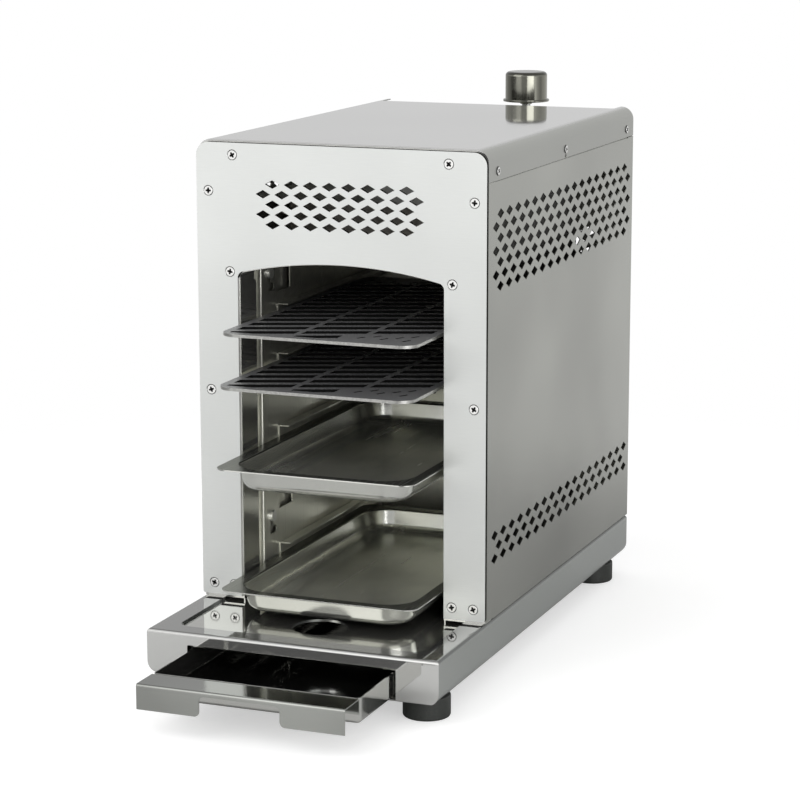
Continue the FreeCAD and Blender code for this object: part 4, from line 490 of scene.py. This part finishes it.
def dressed(node, width, walls=(), levels=(), edge_shade=None, cut=(), flat=False, seam=None):
    """The node's own shape with clean faces and softly rounded edges, width in millimetres.

    Walls are finishes for a grate: one for its outline, one for the sides of its slots, which
    paints shade there. Levels are finishes for a tray: one for its rim, one for its floor, copies
    of its steel in other tones that paint shade and light. The finish for the bevels paints shade
    on the edges. Cut are finishes for the thickness of a plate that faces front: one for its
    outline and holes, which paints shade, one for the jambs of its opening, which paints a
    highlight. A seam is the wider edge at the part's top; with the bevels' finish it paints the
    shade of the gap there."""
    slot = SLOT_OF_NODE[node]
    work = bmesh.new()
    work.from_mesh(frame["nodes"][node].data)
    bmesh.ops.remove_doubles(work, verts=work.verts, dist=WELD)
    bmesh.ops.dissolve_limit(work, angle_limit=FLAT_ANGLE, verts=work.verts, edges=work.edges)
    if walls:
        paint_walls(work)
    if levels:
        paint_levels(work, 1 if levels[0] else 0, sum(1 for finish in levels if finish))
    if seam:
        weigh_seam(work, width / seam)
    if cut:
        paint_cut(work)
    mesh = bpy.data.meshes.new(node + "_dressed")
    work.to_mesh(mesh)
    work.free()
    mesh.materials.append(MATERIALS[slot])
    for finish in (*walls, *levels, *cut, edge_shade):
        if finish:
            mesh.materials.append(finish)
    if flat:
        mesh.shade_flat()
    else:
        smoothed(mesh)
    piece = link(node + "_dressed", mesh, node, slot)
    bevel = piece.modifiers.new("bevel", "BEVEL")
    bevel.width = (seam or width) * MM
    bevel.segments = BEVEL_STEPS
    bevel.limit_method = "WEIGHT" if seam else "ANGLE"
    bevel.angle_limit = SHARP_ANGLE
    bevel.use_clamp_overlap = True
    # The bevels take the edge finish, which paints shade on them.
    if edge_shade:
        bevel.material = len(mesh.materials) - 1
    if not flat:
        weighted = piece.modifiers.new("weighted", "WEIGHTED_NORMAL")
        weighted.keep_sharp = True
        weighted.weight = FACE_WEIGHT


def loose_parts(mesh):
    """The points of each separate solid of a mesh."""
    work = bmesh.new()
    work.from_mesh(mesh)
    bmesh.ops.remove_doubles(work, verts=work.verts, dist=WELD)
    seen = set()
    parts = []
    for seed in work.verts:
        if seed in seen:
            continue
        seen.add(seed)
        part = [seed]
        for vertex in part:
            for side in vertex.link_edges:
                other = side.other_vert(vertex)
                if other not in seen:
                    seen.add(other)
                    part.append(other)
        parts.append([vertex.co.copy() for vertex in part])
    work.free()
    return parts


def ring_of(work, centre, right, up, radius):
    """A ring of new vertices round a centre."""
    ring = []
    for k in range(HEAD_SIDES):
        angle = 2 * math.pi * k / HEAD_SIDES
        way = right * (radius * math.cos(angle)) + up * (radius * math.sin(angle))
        ring.append(work.verts.new(centre + way))
    return ring


def bridged(work, first, second, finish=0):
    """Quads between two rings of the same count."""
    count = len(first)
    for k in range(count):
        after = (k + 1) % count
        face = work.faces.new((first[k], first[after], second[after], second[k]))
        face.material_index = finish


def closed_loop(work, ring):
    """The edges that run round a ring of vertices."""
    count = len(ring)
    return [work.edges.get((ring[k], ring[(k + 1) % count])) for k in range(count)]


def cross_outline(work, centre, right, up, radius, turn):
    """New vertices round a cross recess with flared inner corners."""
    ring = []
    for quarter in range(4):
        angle = turn + quarter * math.pi / 2
        along = right * math.cos(angle) + up * math.sin(angle)
        across = up * math.cos(angle) - right * math.sin(angle)
        for reach, side in ((CROSS_ARM, -CROSS_HALF), (CROSS_ARM, CROSS_HALF),
                            (CROSS_FLARE, CROSS_FLARE)):
            ring.append(work.verts.new(centre + (along * reach + across * side) * radius))
    return ring


def cross_head(work, points, axis, turn, rim_share, raised):
    """One countersunk screw with a cross recess; axis points out of its head.

    The rim is where the bright crown ends and a dark ring of painted shadow starts, as a share of
    the head's radius, and raised is how far the crown stands out, as a share of it too."""
    heights = [point.dot(axis) for point in points]
    top = max(heights)
    foot = min(heights)
    middle = sum(points, Vector()) / len(points)
    centre = middle - axis * (middle.dot(axis) - top)
    right = axis.orthogonal().normalized()
    up = axis.cross(right)
    reach = [(point - centre - axis * (point - centre).dot(axis)).length for point in points]
    radius = max(reach)
    shank = min(out for out, height in zip(reach, heights) if height < foot + END_REACH)
    neck = max([height for out, height in zip(reach, heights)
                if out < shank * SHANK_MARGIN and height < top - END_REACH] or [foot])
    rim = radius * rim_share
    edge = ring_of(work, centre - axis * (HEAD_DROP * radius), right, up, HEAD_LIP * radius)
    cone = ring_of(work, centre - axis * (top - neck), right, up, shank)
    tail = ring_of(work, centre - axis * (top - foot), right, up, shank)
    centre = centre + axis * (raised * radius)
    crown = ring_of(work, centre, right, up, rim - CROWN_STEP * radius)
    inner = ring_of(work, centre - axis * (CROWN_STEP * radius), right, up, rim)
    bridged(work, inner, crown)
    # The ring round the crown takes the second finish: painted shadow.
    bridged(work, edge, inner, finish=1)
    bridged(work, cone, edge)
    bridged(work, tail, cone)
    work.faces.new(tail[::-1])
    mouth = cross_outline(work, centre, right, up, radius, turn)
    bed_centre = centre - axis * (CROSS_DEPTH * radius)
    bed = cross_outline(work, bed_centre, right, up, radius * CROSS_TAPER, turn)
    # The recess takes the second finish too: painted shade.
    bridged(work, mouth, bed, finish=1)
    work.faces.new(bed).material_index = 1
    bmesh.ops.triangle_fill(work, use_beauty=True, use_dissolve=False, normal=axis,
                            edges=closed_loop(work, mouth) + closed_loop(work, crown))


def cross_screws(node, axis, rim_share=0.86, raised=0.0):
    """Screws with cross recesses in place of a node's plain ones."""
    work = bmesh.new()
    parts = loose_parts(frame["nodes"][node].data)
    parts.sort(key=lambda part: tuple(round(sum(p[k] for p in part) / len(part), 4)
                                      for k in range(3)))
    for index, part in enumerate(parts):
        way = axis if axis.x == 0 or part[0].x > 0 else -axis
        cross_head(work, part, way, SCREW_TURNS[index % len(SCREW_TURNS)], rim_share, raised)
    bmesh.ops.recalc_face_normals(work, faces=work.faces)
    mesh = bpy.data.meshes.new(node + "_cross")
    work.to_mesh(mesh)
    work.free()
    mesh.materials.append(MATERIALS[SLOT_OF_NODE[node]])
    mesh.materials.append(RECESS_SHADE)
    smoothed(mesh)
    link(node + "_cross", mesh, node, SLOT_OF_NODE[node])


def sprung(node):
    """The node's own coil, smooth shaded, as a piece with a mesh of its own."""
    mesh = frame["nodes"][node].data.copy()
    smoothed(mesh)
    piece = link(node + "_coil", mesh, node, SLOT_OF_NODE[node])
    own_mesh(piece)


def world_light():
    """White to the camera; to metal a studio of pale panels with dark gaps, paler overhead."""
    world = bpy.data.worlds.new("studio")
    bpy.context.scene.world = world
    world.use_nodes = True
    net = Nodes(world.node_tree)
    parted = net.parted(net.place(), "Generated")
    ahead = net.math("MULTIPLY", parted, "Y", -1.0)
    turn = net.math("ARCTAN2", parted, "X", ahead)
    share = net.ranged(turn, "Value", 0.0, 1.0, -math.pi, math.pi)
    ramp = net.add("ShaderNodeValToRGB")
    ramp.color_ramp.interpolation = "EASE"
    stops = ramp.color_ramp.elements
    while len(stops) < len(SKY_LEVELS):
        stops.new(0.5)
    # Places first, because the ramp sorts its stops by them.
    for stop, (azimuth, _) in zip(stops, SKY_LEVELS):
        stop.position = (azimuth + 180) / 360
    for stop, (_, level) in zip(stops, SKY_LEVELS):
        stop.color = (level, level, level, 1)
    net.join(share, "Result", ramp, "Fac")
    upward = net.ranged(parted, "Z", 0.0, 1.0, *SKY_BLEND)
    sky = net.tinted(upward, "Result", (0, 0, 0), (SKY_TOP,) * 3)
    net.join(ramp, "Color", sky, 6)
    path = net.add("ShaderNodeLightPath")
    glossy = net.tinted(path, "Is Glossy Ray", (WORLD_FILL,) * 3, sky)
    seen = net.tinted(path, "Is Camera Ray", glossy, (1, 1, 1))
    background = net.add("ShaderNodeBackground")
    net.join(seen, 2, background, "Color")
    output = net.add("ShaderNodeOutputWorld")
    net.join(background, "Background", output, "Surface")


def lamp(name, place, size, power):
    """Soft square lamp that looks at the middle of the part."""
    data = bpy.data.lights.new(name, "AREA")
    data.size = size
    data.energy = power
    light = bpy.data.objects.new(name, data)
    bpy.context.scene.collection.objects.link(light)
    light.location = place
    light.rotation_mode = "QUATERNION"
    light.rotation_quaternion = (Vector(LAMP_AIM) - Vector(place)).to_track_quat("-Z", "Y")


def floor_material():
    """White with a faint mottle, lifted for the camera, and clear far from the object."""
    material, net = new_material("floor_white")
    place = net.place()
    path = net.add("ShaderNodeLightPath")
    tint = net.tinted(net.noise(place, FLOOR_CELLS), "Fac", (FLOOR_COLOUR,) * 3,
                      (FLOOR_COLOUR + FLOOR_MOTTLE,) * 3)
    glossy = net.tinted(path, "Is Glossy Ray", tint, (FLOOR_GLOSS,) * 3)
    diffuse = net.add("ShaderNodeBsdfDiffuse")
    net.join(glossy, 2, diffuse, "Color")
    lift = net.add("ShaderNodeEmission", Color=(1, 1, 1, 1))
    share = net.ranged(path, "Is Camera Ray", 0.0, FLOOR_LIFT, 0.0, 1.0)
    net.join(share, "Result", lift, "Strength")
    near = net.add("ShaderNodeAddShader")
    net.join(diffuse, "BSDF", near, 0)
    net.join(lift, "Emission", near, 1)
    far = net.add("ShaderNodeBsdfTransparent")
    length = net.add("ShaderNodeVectorMath", operation="LENGTH")
    net.join(place, "Object", length, 0)
    away = net.ranged(length, "Value", 0.0, 1.0, *FLOOR_FADE)
    away.interpolation_type = "SMOOTHSTEP"
    mix = net.add("ShaderNodeMixShader")
    net.join(away, "Result", mix, 0)
    net.join(near, "Shader", mix, 1)
    net.join(far, "BSDF", mix, 2)
    output = net.add("ShaderNodeOutputMaterial")
    net.join(mix, "Shader", output, "Surface")
    return material


def make_floor():
    """White floor that keeps the object's soft shadow and fades into the white background."""
    mesh = bpy.data.meshes.new("floor")
    work = bmesh.new()
    bmesh.ops.create_circle(work, cap_ends=True, segments=FLOOR_SIDES, radius=FLOOR_RADIUS)
    work.to_mesh(mesh)
    work.free()
    mesh.materials.append(floor_material())
    floor = bpy.data.objects.new("floor", mesh)
    bpy.context.scene.collection.objects.link(floor)


bpy.context.scene.view_settings.view_transform = "Standard"
make_camera()
world_light()
make_floor()
for row in LAMPS:
    lamp(*row)

for node, thing in frame["nodes"].items():
    for index in range(len(thing.data.materials)):
        thing.data.materials[index] = MATERIALS[SLOT_OF_NODE[node]]

# The dark recess and ring of each screw are painted shade.
cross_screws("plate_screws", Vector((0, -1, 0)))
cross_screws("cover_screws", Vector((1, 0, 0)), rim_share=0.82, raised=0.25)
cross_screws("back_screws", Vector((0, 1, 0)))
cross_screws("carrier_screws", Vector((0, 1, 0)))
# Bevels and cut edges in the dark cut finish and the side panels' top seams are painted shade; the
# plate's jambs carry a painted highlight; tray rims and the base's recess are painted shade, tray
# floors painted light; the grates' slot walls are painted shade.
dressed("front_plate", 0.3, cut=(CUT_SHADE, CUT_HIGHLIGHT), flat=True, edge_shade=CUT_SHADE)
dressed("top_cover", 0.35, edge_shade=CUT_SHADE)
dressed("side_panel_left", 0.25, edge_shade=CUT_SHADE, seam=1.0)
dressed("side_panel_right", 0.25, edge_shade=CUT_SHADE, seam=1.0)
dressed("front_frame", 0.8)
dressed("base_pan", 0.2, levels=(None, BASIN_SHADE))
dressed("tray_lower", 0.3, levels=(TRAY_RIM_SHADE, TRAY_FLOOR_LIGHT))
dressed("tray_upper", 0.3, levels=(TRAY_RIM_SHADE, TRAY_FLOOR_LIGHT))
dressed("drawer_pan", 0.2)
dressed("drawer_handle", 0.25)
dressed("grate_lower", 0.3, walls=(GRATE_EDGE, SLOT_SHADE))
dressed("grate_upper", 0.3, walls=(GRATE_EDGE, SLOT_SHADE))
sprung("return_spring")
